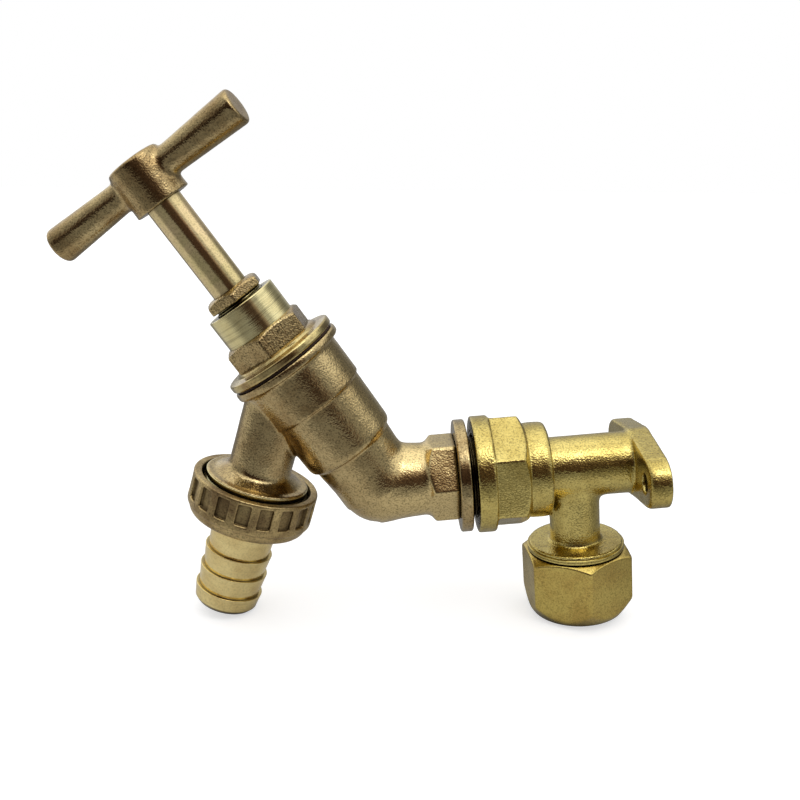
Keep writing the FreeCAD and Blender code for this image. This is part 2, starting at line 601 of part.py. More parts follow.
def bonnet():
    """The bonnet screwed into the barrel: skirt, flange, hexagon and turned top."""
    flange_radius = BONNET_FLANGE_DIAMETER / 2
    flange_top = BONNET_SEAT + BONNET_FLANGE_THICKNESS
    top_radius = BONNET_TOP_DIAMETER / 2
    skirt = thread(BONNET_THREAD_DIAMETER / 2, BONNET_THREAD_DEPTH, BONNET_THREAD_PITCH,
                   BONNET_SKIRT_END, BONNET_SEAT)
    flange = turned([(0, BONNET_SEAT)]
                    + rounding(flange_radius, BONNET_SEAT, BONNET_FLANGE_ROUNDING, 1, 1)
                    + rounding(flange_radius, flange_top, BONNET_FLANGE_ROUNDING, -1, -1)
                    + [(BONNET_FLATS * CORNER_OVER_FLATS, BONNET_HEX_START), (0, BONNET_HEX_START)])
    grip = chamfered_hexagon(BONNET_FLATS, BONNET_HEX_START, BONNET_TOP_START, top=BONNET_TOP_DIAMETER)
    top = turned([(0, BONNET_TOP_START), (top_radius, BONNET_TOP_START),
                  (top_radius, BONNET_TOP - BONNET_TOP_CHAMFER),
                  (top_radius - BONNET_TOP_CHAMFER, BONNET_TOP), (0, BONNET_TOP)])
    body = skirt.fuse([flange, grip, top])
    skirt_bore_end = BONNET_SKIRT_END + BONNET_SKIRT_BORE_DEPTH
    thread_bore_radius = SPINDLE_THREAD_DIAMETER / 2 + RUNNING_CLEARANCE
    skirt_bore = rod(BONNET_SKIRT_BORE / 2, BONNET_SKIRT_END, skirt_bore_end)
    thread_bore = rod(thread_bore_radius, BONNET_SKIRT_END, BONNET_NECK_START)
    neck_bore = rod(STEM_DIAMETER / 2 + RUNNING_CLEARANCE, BONNET_SKIRT_END, BONNET_TOP)
    box = rod(GLAND_THREAD_DIAMETER / 2 + THREAD_CLEARANCE, STUFFING_BOX_FLOOR, BONNET_TOP)
    shape = body.cut(skirt_bore).cut(thread_bore).cut(neck_bore).cut(box)
    shape.Placement = BONNET_FRAME
    return shape


def gland_nut():
    """The small hexagonal gland screw round the spindle."""
    hole = STEM_DIAMETER / 2 + RUNNING_CLEARANCE
    shank = thread(GLAND_THREAD_DIAMETER / 2, GLAND_THREAD_DEPTH, GLAND_THREAD_PITCH,
                   GLAND_SHANK_START, GLAND_HEX_START)
    head = chamfered_hexagon(GLAND_FLATS, GLAND_HEX_START, GLAND_TOP, GLAND_TURN, top=GLAND_LAND_DIAMETER)
    shape = shank.fuse(head).cut(rod(hole, GLAND_SHANK_START, GLAND_TOP))
    shape.Placement = BONNET_FRAME
    return shape


def gland_ring(start, end):
    """A ring that fills the stuffing box round the spindle from start to end."""
    inner = STEM_DIAMETER / 2 + RUNNING_CLEARANCE
    shape = ring(inner, GLAND_THREAD_DIAMETER / 2, start, end)
    shape.Placement = BONNET_FRAME
    return shape


def gland_washer():
    return gland_ring(GLAND_SHANK_START - GLAND_WASHER_THICKNESS, GLAND_SHANK_START)


def gland_packing():
    return gland_ring(STUFFING_BOX_FLOOR, GLAND_SHANK_START - GLAND_WASHER_THICKNESS)


def spindle():
    """The spindle: hollow foot, lifting thread, plain stem and square end with its screw hole."""
    foot = rod(SPINDLE_FOOT_DIAMETER / 2, SPINDLE_FOOT, SPINDLE_THREAD_START)
    lifting = thread(SPINDLE_THREAD_DIAMETER / 2, SPINDLE_THREAD_DEPTH, SPINDLE_THREAD_PITCH,
                     SPINDLE_THREAD_START, SPINDLE_THREAD_END)
    stem = rod(STEM_DIAMETER / 2, SPINDLE_THREAD_END, HUB_START)
    square = square_bar(SQUARE_FLATS, HUB_START, SQUARE_TOP - LOOSE_CLEARANCE)
    square.rotate(FreeCAD.Vector(0, 0, 0), Z_AXIS, BAR_TURN)
    jumper_bore_end = JUMPER_STEM_START + JUMPER_STEM_LENGTH + LOOSE_CLEARANCE
    screw_hole_start = HUB_TOP - SCREW_LENGTH - LOOSE_CLEARANCE
    jumper_bore = rod(JUMPER_STEM_DIAMETER / 2 + RUNNING_CLEARANCE, SPINDLE_FOOT, jumper_bore_end)
    screw_hole = rod(SCREW_DIAMETER / 2 + RUNNING_CLEARANCE, screw_hole_start, HUB_TOP)
    shape = foot.fuse([lifting, stem, square]).cut(jumper_bore).cut(screw_hole)
    shape.Placement = BONNET_FRAME
    return shape


def bar_arm(side):
    """One arm of the cross bar, thinner at the hub, pointing along the local X axis."""
    tip = BAR_LENGTH / 2
    end_radius = BAR_END_DIAMETER / 2
    arm = turned([(0, 0), (BAR_WAIST_DIAMETER / 2, 0)]
                 + rounding(end_radius, tip, BAR_END_ROUNDING, -1, -1) + [(0, tip)])
    arm.rotate(FreeCAD.Vector(0, 0, 0), Y_AXIS, side * 90)
    arm.translate(FreeCAD.Vector(0, 0, HUB_TOP - BAR_FROM_HUB_TOP))
    return arm


def tee_handle():
    """The cast tee handle: a tapered hub and its cross bar."""
    top_radius = HUB_TOP_DIAMETER / 2
    hub = turned([(0, HUB_START), (HUB_BOTTOM_DIAMETER / 2, HUB_START)]
                 + rounding(top_radius, HUB_TOP, HUB_ROUNDING, -1, -1) + [(0, HUB_TOP)])
    body = hub.fuse([bar_arm(1), bar_arm(-1)])
    pocket = square_bar(SQUARE_FLATS + 2 * SQUARE_CLEARANCE, HUB_START, SQUARE_TOP)
    hole_radius = SCREW_DIAMETER / 2 + RUNNING_CLEARANCE
    hole = rod(hole_radius, SQUARE_TOP, HUB_TOP)
    sink_radius = SCREW_HEAD_DIAMETER / 2 + RUNNING_CLEARANCE
    sink = cone(hole_radius, sink_radius, HUB_TOP - SCREW_HEAD_HEIGHT, HUB_TOP)
    shape = body.cut(pocket).cut(hole).cut(sink)
    shape.rotate(FreeCAD.Vector(0, 0, 0), Z_AXIS, BAR_TURN)
    shape.Placement = BONNET_FRAME.multiply(shape.Placement)
    return shape


def handle_screw():
    """The countersunk slotted screw that holds the handle on the spindle."""
    radius = SCREW_DIAMETER / 2
    shank = rod(radius, HUB_TOP - SCREW_LENGTH, HUB_TOP)
    head = cone(radius, SCREW_HEAD_DIAMETER / 2, HUB_TOP - SCREW_HEAD_HEIGHT, HUB_TOP)
    slot_corner = FreeCAD.Vector(-SCREW_HEAD_DIAMETER / 2, -SCREW_SLOT_WIDTH / 2, HUB_TOP - SCREW_SLOT_DEPTH)
    slot = Part.makeBox(SCREW_HEAD_DIAMETER, SCREW_SLOT_WIDTH, SCREW_SLOT_DEPTH, slot_corner)
    shape = shank.fuse(head).cut(slot)
    shape.Placement = BONNET_FRAME
    return shape


def jumper_valve():
    """The jumper: a plate with a stem into the spindle and a peg through the tap washer."""
    peg_end = TAP_WASHER_START - WASHER_NUT_HEIGHT - LOOSE_CLEARANCE
    peg = rod(JUMPER_PEG_DIAMETER / 2, peg_end, JUMPER_PLATE_START)
    plate = rod(JUMPER_PLATE_DIAMETER / 2, JUMPER_PLATE_START, JUMPER_STEM_START)
    stem = rod(JUMPER_STEM_DIAMETER / 2, JUMPER_STEM_START, JUMPER_STEM_START + JUMPER_STEM_LENGTH)
    shape = peg.fuse([plate, stem])
    shape.Placement = BONNET_FRAME
    return shape


def tap_washer():
    """The rubber washer that closes on the seat."""
    shape = ring(TAP_WASHER_HOLE / 2, TAP_WASHER_DIAMETER / 2, TAP_WASHER_START, JUMPER_PLATE_START)
    shape.Placement = BONNET_FRAME
    return shape


def washer_nut():
    """The small nut that holds the tap washer on the jumper's peg."""
    start = TAP_WASHER_START - WASHER_NUT_HEIGHT
    body = chamfered_hexagon(WASHER_NUT_FLATS, start, TAP_WASHER_START, bottom=WASHER_NUT_LAND_DIAMETER)
    shape = body.cut(rod(TAP_WASHER_HOLE / 2, start, TAP_WASHER_START))
    shape.Placement = BONNET_FRAME
    return shape


def union_washer():
    """The flat washer between the spout and the hose tail."""
    shape = ring(UNION_WASHER_HOLE / 2, TAIL_FLANGE_DIAMETER / 2, UNION_WASHER_START, TAIL_START)
    shape.Placement = OUTLET_FRAME
    return shape


def hose_tail():
    """The hose tail: flange, neck and barbs whose steps face the union nut."""
    barb_radius = TAIL_BARB_DIAMETER / 2
    groove_radius = TAIL_GROOVE_DIAMETER / 2
    flange_radius = TAIL_FLANGE_DIAMETER / 2
    steps = [(TAIL_BORE / 2, TAIL_START), (flange_radius, TAIL_START), (flange_radius, TAIL_NECK_START),
             (barb_radius, TAIL_NECK_START)]
    for barb in range(TAIL_BARB_COUNT):
        step = UNION_NUT_END + TAIL_FIRST_BARB + barb * TAIL_BARB_PITCH
        steps.append((groove_radius, step))
        steps.append((barb_radius, step))
    steps.append((groove_radius, TAIL_END))
    steps.append((TAIL_BORE / 2, TAIL_END))
    shape = turned(steps)
    shape.Placement = OUTLET_FRAME
    return shape


def union_nut():
    """The round ribbed nut that holds the hose tail on the spout."""
    radius = UNION_NUT_DIAMETER / 2
    window_radius = radius - UNION_RIB_DEPTH
    ribs_start = UNION_NUT_START + UNION_NUT_RIM_LENGTH
    ribs_end = ribs_start + UNION_RIB_LENGTH
    body = turned([(0, UNION_NUT_START), (window_radius, UNION_NUT_START),
                   (radius, UNION_NUT_START + UNION_RIB_DEPTH), (radius, ribs_end),
                   (window_radius, ribs_end)]
                  + rounding(window_radius, UNION_NUT_END, UNION_NUT_ROUNDING, -1, -1)
                  + [(0, UNION_NUT_END)])
    window_angle = math.degrees(2 * math.pi / UNION_RIB_COUNT - UNION_RIB_WIDTH / radius)
    window = Part.makeCylinder(radius + UNION_RIB_DEPTH, UNION_RIB_LENGTH, point(0, ribs_start),
                               Z_AXIS, window_angle)
    window = window.cut(rod(window_radius, ribs_start, ribs_end))
    windows = []
    for rib in range(UNION_RIB_COUNT):
        copy = window.copy()
        copy.rotate(FreeCAD.Vector(0, 0, 0), Z_AXIS, rib * FULL_TURN / UNION_RIB_COUNT)
        windows.append(copy)
    bore = rod(G_THREE_QUARTER_DIAMETER / 2 + THREAD_CLEARANCE, UNION_NUT_START, UNION_LIP_START)
    hole = rod(TAIL_BARB_DIAMETER / 2 + LOOSE_CLEARANCE, UNION_NUT_START, UNION_NUT_END)
    shape = body.cut(windows).cut(bore).cut(hole)
    shape.Placement = OUTLET_FRAME
    return shape


PIECES = (wall_plate_elbow, compression_nut, olive, tap_body, bonnet_washer, bonnet, gland_nut,
          gland_washer, gland_packing, spindle, tee_handle, handle_screw, jumper_valve, tap_washer,
          washer_nut, union_nut, union_washer, hose_tail)

os.makedirs("parts", exist_ok=True)
for piece in PIECES:
    solid = piece()
    solid.exportStep("parts/" + piece.__name__ + ".step")
    box = solid.BoundBox
    print(piece.__name__, solid.isValid(), len(solid.Solids), round(solid.Volume, 1),
          [round(v, 2) for v in (box.XMin, box.XMax, box.YMin, box.YMax, box.ZMin, box.ZMax)])
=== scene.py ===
import collections
import math

import bmesh
import bpy
import numpy as np
from bpy.props import FloatProperty, FloatVectorProperty, IntProperty, PointerProperty
from bpy.types import Operator, Panel, PropertyGroup
from mathutils import Matrix, Vector


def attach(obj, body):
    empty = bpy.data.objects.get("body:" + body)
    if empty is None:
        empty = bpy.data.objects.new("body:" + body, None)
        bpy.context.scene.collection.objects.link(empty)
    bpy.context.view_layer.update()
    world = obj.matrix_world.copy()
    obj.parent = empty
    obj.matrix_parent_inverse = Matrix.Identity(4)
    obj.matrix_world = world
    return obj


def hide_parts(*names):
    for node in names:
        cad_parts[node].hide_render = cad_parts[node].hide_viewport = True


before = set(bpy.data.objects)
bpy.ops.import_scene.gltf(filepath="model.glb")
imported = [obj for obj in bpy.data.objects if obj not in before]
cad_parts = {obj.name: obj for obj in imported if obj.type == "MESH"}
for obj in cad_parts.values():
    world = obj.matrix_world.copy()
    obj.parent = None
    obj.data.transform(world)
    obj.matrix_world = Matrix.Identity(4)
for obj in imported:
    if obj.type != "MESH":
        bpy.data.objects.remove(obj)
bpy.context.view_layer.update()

bl_info = {
    "name": "Garden tap",
    "version": (1, 0, 0),
    "blender": (4, 5, 0),
    "location": "3D View > Sidebar > Garden tap",
    "description": "Dresses a garden tap and its wall plate elbow, piece by piece",
    "category": "Object",
}

# Lengths are in millimetres until a mesh is finished, and distances along an axis are those of the
# solids: from the wall, from the arm's axis, from the bend, and from where spout and barrel meet.
MM = 0.001
COS_30 = math.cos(math.radians(30))
TAN_30 = math.tan(math.radians(30))

# Screw threads: outer radius, depth and pitch
G_HALF = (10.4775, 1.162, 1.814)
G_THREE_QUARTER = (13.2205, 1.162, 1.814)
BONNET_THREAD = (10.0, 0.7, 1.2)
GLAND_THREAD = (6.2, 0.55, 1.0)
LIFTING_THREAD = (5.5, 0.9, 2.4)

# Places along the axes where pieces meet or end
BRANCH_REACH = 18.15
BEND, OUTLET_MEETS = 65.05, 36.4
INLET_END, INLET_FLANGE = 31.3, 43.5
BRANCH_SHOULDER, BRANCH_END = 20.6, 29.8
SPOUT_SHOULDER, SPOUT_END = 30.4, 35.7
SKIRT_END, BONNET_SEAT = 31.3, 38.3
GLAND_SHOULDER = 55.3
HUB_FOOT, BAR_HEIGHT = 81.9, 88.3
NUT_FOOT, TAIL_END = 37.08, 63.05

# Radii of the water ways, the bores, the stem, the compression nut's lower land and the tail
TAP_WAY, SPOUT_WAY, ELBOW_WAY, BRANCH_WAY, TAIL_WAY = 6.0, 5.0, 4.5, 4.3, 5.5
SOCKET_BORE, UNION_BORE, CHAMBER = 10.58, 13.32, 9.5
PIPE_HOLE, TAIL_HOLE = 7.68, 8.6
BONNET_BORE, GLAND_BORE, STEM = 5.58, 4.43, 4.35
NUT_LAND, TAIL_RADIUS = 11.1, 7.5
PLATE_SCREW_HOLE, HANDLE_SCREW_HOLE = 2.25, 2.03

# Half the width of the spindle's square end, and of the handle's pocket for it
SQUARE, POCKET = 3.1, 3.2

# A smooth minimum's distance for each millimetre of fillet
FILLET_REACH = 1.757

# Rounded corners of turned pieces: the step of an arc, its largest share of a side and its guard points
ARC_STEP = math.radians(14)
ROUNDED_SHARE = 0.45
GUARD = 0.1

# Threads: rings of vertices for each pitch, and the groove's flank and flat bottom
RINGS_PER_PITCH = 12
FLANK, FLAT_BOTTOM = 2.6, 0.15

# Scales of the noises in the finishes, per metre
STAIN_SCALE, PIT_SCALE, SAND_SCALE, SKIN_SCALE, TOOL_SCALE = 110, 2400, 2300, 1700, 2200

# Wear and painted light: 0 is dirty and in painted shade, 0.5 is plain and 1 is rubbed bright with a painted
# highlight
PLAIN = 0.5
# How much darker a recess is painted: painted shade, with dirt
RECESS_DIRT_AND_SHADE = 0.22

# Half of the floor's side in metres
FLOOR_HALF = 1.5


def axis(x, z, lean):
    """The matrix of a turning axis that starts at (x, 0, z) and leans from the upright."""
    return Matrix.Translation((x, 0, z)) @ Matrix.Rotation(math.radians(lean), 4, "Y")


WALL = axis(0, 0, -90)
BRANCH = axis(-BRANCH_REACH, 0, 180)
BONNET = axis(-BEND, 0, -30.9)
OUTLET_START = BONNET @ Vector((0, 0, OUTLET_MEETS))
OUTLET = axis(OUTLET_START.x, OUTLET_START.z, -159.5)
HANDLE = BONNET @ Matrix.Rotation(math.radians(-8.7), 4, "Z")
BAR = HANDLE @ Matrix.Translation((0, 0, BAR_HEIGHT)) @ Matrix.Rotation(math.radians(90), 4, "Y")


# Nodes

def feed(tree, socket, value):
    """Links a socket to an input, or sets the input to a value."""
    if isinstance(value, bpy.types.NodeSocket):
        tree.links.new(value, socket)
    else:
        socket.default_value = value


def node_of(tree, kind, *inputs, **values):
    """A node with its inputs in order or by name. Other names are its settings."""
    node = tree.nodes.new(kind)
    for name, value in values.items():
        if name in node.inputs:
            feed(tree, node.inputs[name], value)
        else:
            setattr(node, name, value)
    for socket, value in zip(node.inputs, inputs):
        feed(tree, socket, value)
    return node


def maths(tree, operation, *values):
    return node_of(tree, "ShaderNodeMath", *values, operation=operation).outputs[0]


def vector_maths(tree, operation, *values):
    node = node_of(tree, "ShaderNodeVectorMath", *values, operation=operation)
    return node.outputs["Value" if operation in {"DOT_PRODUCT", "LENGTH"} else "Vector"]


def reach_along(tree, direction, aim):
    """How far a position or direction reaches along aim."""
    return vector_maths(tree, "DOT_PRODUCT", direction, Vector(aim).normalized())


def fade(tree, value, start, end, first, last):
    """A number that goes from first to last while value goes from start to end."""
    return node_of(tree, "ShaderNodeMapRange", value, start, end, first, last).outputs[0]


# Distance fields in geometry nodes

class Number:
    """A number in a node tree, to which Python's arithmetic adds nodes."""

    def __init__(self, tree, socket):
        self.tree = tree
        self.socket = socket

    def math(self, operation, *others):
        values = [other.socket if isinstance(other, Number) else other for other in others]
        return Number(self.tree, maths(self.tree, operation, self.socket, *values))

    def __add__(self, other):
        return self.math("ADD", other)

    def __sub__(self, other):
        return self.math("SUBTRACT", other)

    def __mul__(self, other):
        return self.math("MULTIPLY", other)

    def __neg__(self):
        return self.math("MULTIPLY", -1.0)

    def size(self):
        return self.math("ABSOLUTE")


Line = collections.namedtuple("Line", "x y z radius")


class Shape:
    """A geometry node tree that turns a distance field into a mesh."""

    def __init__(self, name):
        self.name = name
        self.tree = bpy.data.node_groups.new(name, "GeometryNodeTree")
        self.tree.interface.new_socket("Geometry", in_out="OUTPUT", socket_type="NodeSocketGeometry")
        self.given = self.tree.nodes.new("NodeGroupInput")
        self.inputs = {}
        self.position = self.tree.nodes.new("GeometryNodeInputPosition").outputs[0]

    def size(self, name, value):
        """A named input of the tree."""
        item = self.tree.interface.new_socket(name, in_out="INPUT", socket_type="NodeSocketFloat")
        self.inputs[item.identifier] = float(value)
        return Number(self.tree, self.given.outputs[name])

    def dot(self, direction):
        return Number(self.tree, vector_maths(self.tree, "DOT_PRODUCT", self.position, direction))

    def line(self, place=None):
        """Coordinates along and round an axis."""
        inverse = (place or Matrix()).inverted()
        x, y, z = (self.dot(inverse[row][:3]) + inverse[row][3] for row in range(3))
        return Line(x, y, z, (x * x + y * y).math("SQRT"))

    def grain(self, grain_size, depth):
        """The uneven skin of a sand casting: coarse waves and fine grains."""
        total = None
        for size, share in ((grain_size, 0.6), (grain_size * 6, 1.0)):
            noise = node_of(self.tree, "ShaderNodeTexNoise", Vector=self.position, Scale=1 / size, Detail=2)
            part = (Number(self.tree, noise.outputs[0]) - 0.5) * share
            total = part if total is None else total + part
        return total * depth

    def mesh(self, distance, low, high, step, finish):
        """The surface where the distance is zero, inside the box from low to high."""
        cube = node_of(self.tree, "GeometryNodeVolumeCube", Density=(-distance).socket, Background=-1,
                       Min=low, Max=high)
        for letter, start, end in zip("XYZ", low, high):
            cube.inputs["Resolution " + letter].default_value = round((end - start) / step) + 1
        skin = node_of(self.tree, "GeometryNodeVolumeToMesh", cube.outputs[0], Threshold=0)
        real = node_of(self.tree, "GeometryNodeRealizeInstances", skin.outputs[0])
        paint = node_of(self.tree, "GeometryNodeSetMaterial", real.outputs[0],
                        Material=bpy.data.materials[finish])
        node_of(self.tree, "NodeGroupOutput", paint.outputs[0])
        return evaluated_mesh(self.name, self.tree, self.inputs)


def evaluated_mesh(name, tree, inputs):
    """The plain mesh that a geometry node tree makes."""
    holder = bpy.data.objects.new(name, bpy.data.meshes.new(name))
    bpy.context.scene.collection.objects.link(holder)
    modifier = holder.modifiers.new(name, "NODES")
    modifier.node_group = tree
    for identifier, value in inputs.items():
        modifier[identifier] = value
    depsgraph = bpy.context.evaluated_depsgraph_get()
    mesh = bpy.data.meshes.new_from_object(holder.evaluated_get(depsgraph))
    holder.modifiers.remove(modifier)
    bpy.data.objects.remove(holder)
    mesh.name = name
    return mesh


def joined(first, second, fillet=0.0):
    return first.math("SMOOTH_MIN", second, fillet * FILLET_REACH)


def common(first, second, rounding=0.0):
    return first.math("SMOOTH_MAX", second, rounding * FILLET_REACH)


def cut(first, second, rounding=0.0):
    return common(first, -second, rounding)


def slab(line, start, end):
    return (line.z - (start + end) / 2).size() - (end - start) / 2


def rod(line, start, end, radius, rounding=0.0):
    return common(line.radius - radius, slab(line, start, end), rounding)


def cone(line, start, end, start_radius, end_radius, rounding=0.0):
    slope = (end_radius - start_radius) / (end - start)
    side = line.radius - (line.z * slope + (start_radius - slope * start))
    return common(side * (1 / math.hypot(1, slope)), slab(line, start, end), rounding)


def ball(line, centre, radius):
    height = line.z - centre
    return (line.radius * line.radius + height * height).math("SQRT") - radius


def hexagon(line, flats, start, end, turn, rounding, low=0.0, high=0.0):
    """A hexagonal prism with a flat towards the local X. low and high are its turned ends' lands."""
    prism = None
    for step in range(3):
        angle = math.radians(turn + 60 * step)
        face = (line.x * math.cos(angle) + line.y * math.sin(angle)).size()
        prism = face if prism is None else common(prism, face, rounding)
    prism = common(prism - flats / 2, slab(line, start, end), rounding)
    if low:
        prism = common(prism, (-line.z + (line.radius - low / 2) * TAN_30 + start) * COS_30, rounding)
    if high:
        prism = common(prism, (line.z + (line.radius - high / 2) * TAN_30 - end) * COS_30, rounding)
    return prism


# Turned pieces

def corner_arc(before, corner, after, radius):
    """Points that round one corner of an outline, with a guard point on each side of the arc."""
    towards, away = before - corner, after - corner
    limit = ROUNDED_SHARE * min(towards.length, away.length)
    half = towards.angle(away) / 2
    reach = min(radius / math.tan(half), limit) if radius else 0.0
    if reach < 1e-4 or half > math.radians(89):
        return [corner]
    towards.normalize()
    away.normalize()
    radius = reach * math.tan(half)
    centre = corner + (towards + away).normalized() * (radius / math.sin(half))
    start, end = corner + towards * reach, corner + away * reach
    sweep = math.pi - 2 * half
    count = max(3, round(sweep / ARC_STEP))
    first = start - centre
    turn = 1 if first.x * (end - centre).y - first.y * (end - centre).x > 0 else -1
    points = [start + towards * min(GUARD, reach)]
    for step in range(count + 1):
        angle = turn * sweep * step / count
        points.append(centre + Vector((first.x * math.cos(angle) - first.y * math.sin(angle),
                                       first.x * math.sin(angle) + first.y * math.cos(angle))))
    points.append(end + away * min(GUARD, reach))
    return points


def outline(steps):
    """Points (along, radius) of a closed outline whose steps are (along, radius, rounding, wear and painted
    light).
    """
    corners = [Vector(step[:2]) for step in steps]
    points = []
    wear_and_shading = []
    for index, step in enumerate(steps):
        rounding = step[2] if len(step) > 2 else 0.0
        arc = corner_arc(corners[index - 1], corners[index], corners[(index + 1) % len(steps)], rounding)
        points += arc
        wear_and_shading += [step[3] if len(step) > 3 else PLAIN] * len(arc)
        if len(arc) > 1:
            wear_and_shading[-1] = wear_and_shading[-len(arc)] = PLAIN
    return points, wear_and_shading


def store_wear_and_shading(mesh, values):
    """Keeps wear and painted light as -1 to 1, so that a solid without it counts as plain."""
    attribute = mesh.attributes.new("edge", "FLOAT", "POINT")
    attribute.data.foreach_set("value", (values * 2 - 1).astype(np.float32))


def turned_mesh(name, place, rings, columns, capped=False):
    """A closed mesh from rings of vertices: rings[row](angle) gives (along, radius).

    The last ring joins the first, or else both are capped.
    """
    shell = bmesh.new()
    grid = []
    for ring in rings:
        row = []
        for column in range(columns):
            angle = 2 * math.pi * column / columns
            along, radius = ring(angle)
            row.append(shell.verts.new((radius * math.cos(angle), radius * math.sin(angle), along)))
        grid.append(row)
    for row in range(1 if capped else 0, len(grid)):
        lower, upper = grid[row - 1], grid[row]
        for column in range(columns):
            following = (column + 1) % columns
            shell.faces.new((lower[column], lower[following], upper[following], upper[column]))
    if capped:
        shell.faces.new(grid[0])
        shell.faces.new(grid[-1])
    bmesh.ops.recalc_face_normals(shell, faces=shell.faces)
    mesh = bpy.data.meshes.new(name)
    shell.to_mesh(mesh)
    shell.free()
    mesh.transform(place)
    return mesh


def turned(name, place, steps, columns=128):
    """A ring turned round an axis from a closed outline that stays clear of the axis."""
    points, wear_and_shading = outline(steps)
    rings = [lambda angle, point=point: (point.x, point.y) for point in points]
    mesh = turned_mesh(name, place, rings, columns)
    store_wear_and_shading(mesh, np.repeat(wear_and_shading, columns))
    return mesh


def plain_rings(*points):
    return [lambda angle, point=point: point for point in points]


def thread_rings(start, end, major, depth, pitch):
    """The rings of a screw thread cut into a shank."""
    rows = round((end - start) / pitch * RINGS_PER_PITCH)

    def thread_ring(row):
        along = start + (end - start) * row / rows

        def ring(angle):
            phase = (along / pitch - angle / (2 * math.pi)) % 1.0
            groove = min(1.0, max(0.0, FLANK * abs(phase - 0.5) - FLAT_BOTTOM))
            run_out = min(along - start, end - along) / depth
            return along, major - depth + depth * min(groove, run_out)
        return ring

    return [thread_ring(row) for row in range(rows + 1)]


def plain_wear(mesh):
    store_wear_and_shading(mesh, np.full(len(mesh.vertices), PLAIN))
    return mesh


def threaded(name, place, start, end, major, depth, pitch, bore, columns=96):
    """A shank with a screw thread cut round it. bore lists the hole's points from end to start."""
    rings = thread_rings(start, end, major, depth, pitch) + plain_rings(*bore)
    return plain_wear(turned_mesh(name, place, rings, columns))


# Finishes

def new_material(name):
    material = bpy.data.materials.new(name)
    material.use_nodes = True
    tree = material.node_tree
    return material, tree, tree.nodes["Principled BSDF"]


def noise_map(tree, source, scale, detail=4.0, roughness=0.6, distortion=0.0):
    return node_of(tree, "ShaderNodeTexNoise", Vector=source, Scale=scale, Detail=detail,
                   Roughness=roughness, Distortion=distortion).outputs[0]


def ramp(tree, source, *stops):
    """A colour ramp: each stop is (position, colour)."""
    node = node_of(tree, "ShaderNodeValToRGB", source)
    elements = node.color_ramp.elements
    elements[0].position, elements[1].position = stops[0][0], stops[-1][0]
    elements[0].color, elements[1].color = stops[0][1], stops[-1][1]
    for position, colour in stops[1:-1]:
        elements.new(position).color = colour
    return node.outputs[0]


def grey(value):
    return (value, value, value, 1.0)


def shade(colour, factor):
    return (colour[0] * factor, colour[1] * factor, colour[2] * factor, 1.0)


def mixed(tree, blend, factor, first, second):
    node = node_of(tree, "ShaderNodeMix", data_type="RGBA", blend_type=blend)
    for index, value in ((0, factor), (6, first), (7, second)):
        feed(tree, node.inputs[index], value)
    return node.outputs[2]


def tool_marks(tree, source, place):
    """Fine rings round an axis, on its cylinders and on its flat faces."""
    inverse = (Matrix.Scale(MM, 4) @ place @ Matrix.Scale(1 / MM, 4)).inverted()
    turn = node_of(tree, "ShaderNodeMapping", Vector=source, Rotation=inverse.to_euler(),
                   Location=inverse.to_translation()).outputs[0]
    radius = vector_maths(tree, "LENGTH", vector_maths(tree, "MULTIPLY", turn, (1, 1, 0)))
    parts = node_of(tree, "ShaderNodeSeparateXYZ", turn).outputs
    drift = maths(tree, "MULTIPLY", parts["X"], 0.02)
    ring = node_of(tree, "ShaderNodeCombineXYZ", radius, drift, parts["Z"])
    return noise_map(tree, ring.outputs[0], TOOL_SCALE, 3, 0.7)


def bumped(tree, height, depth, under=None):
    """A normal from a height map that is depth millimetres deep."""
    bump = node_of(tree, "ShaderNodeBump", Strength=1.0, Distance=depth * MM, Height=height)
    if under:
        tree.links.new(under, bump.inputs["Normal"])
    return bump.outputs[0]


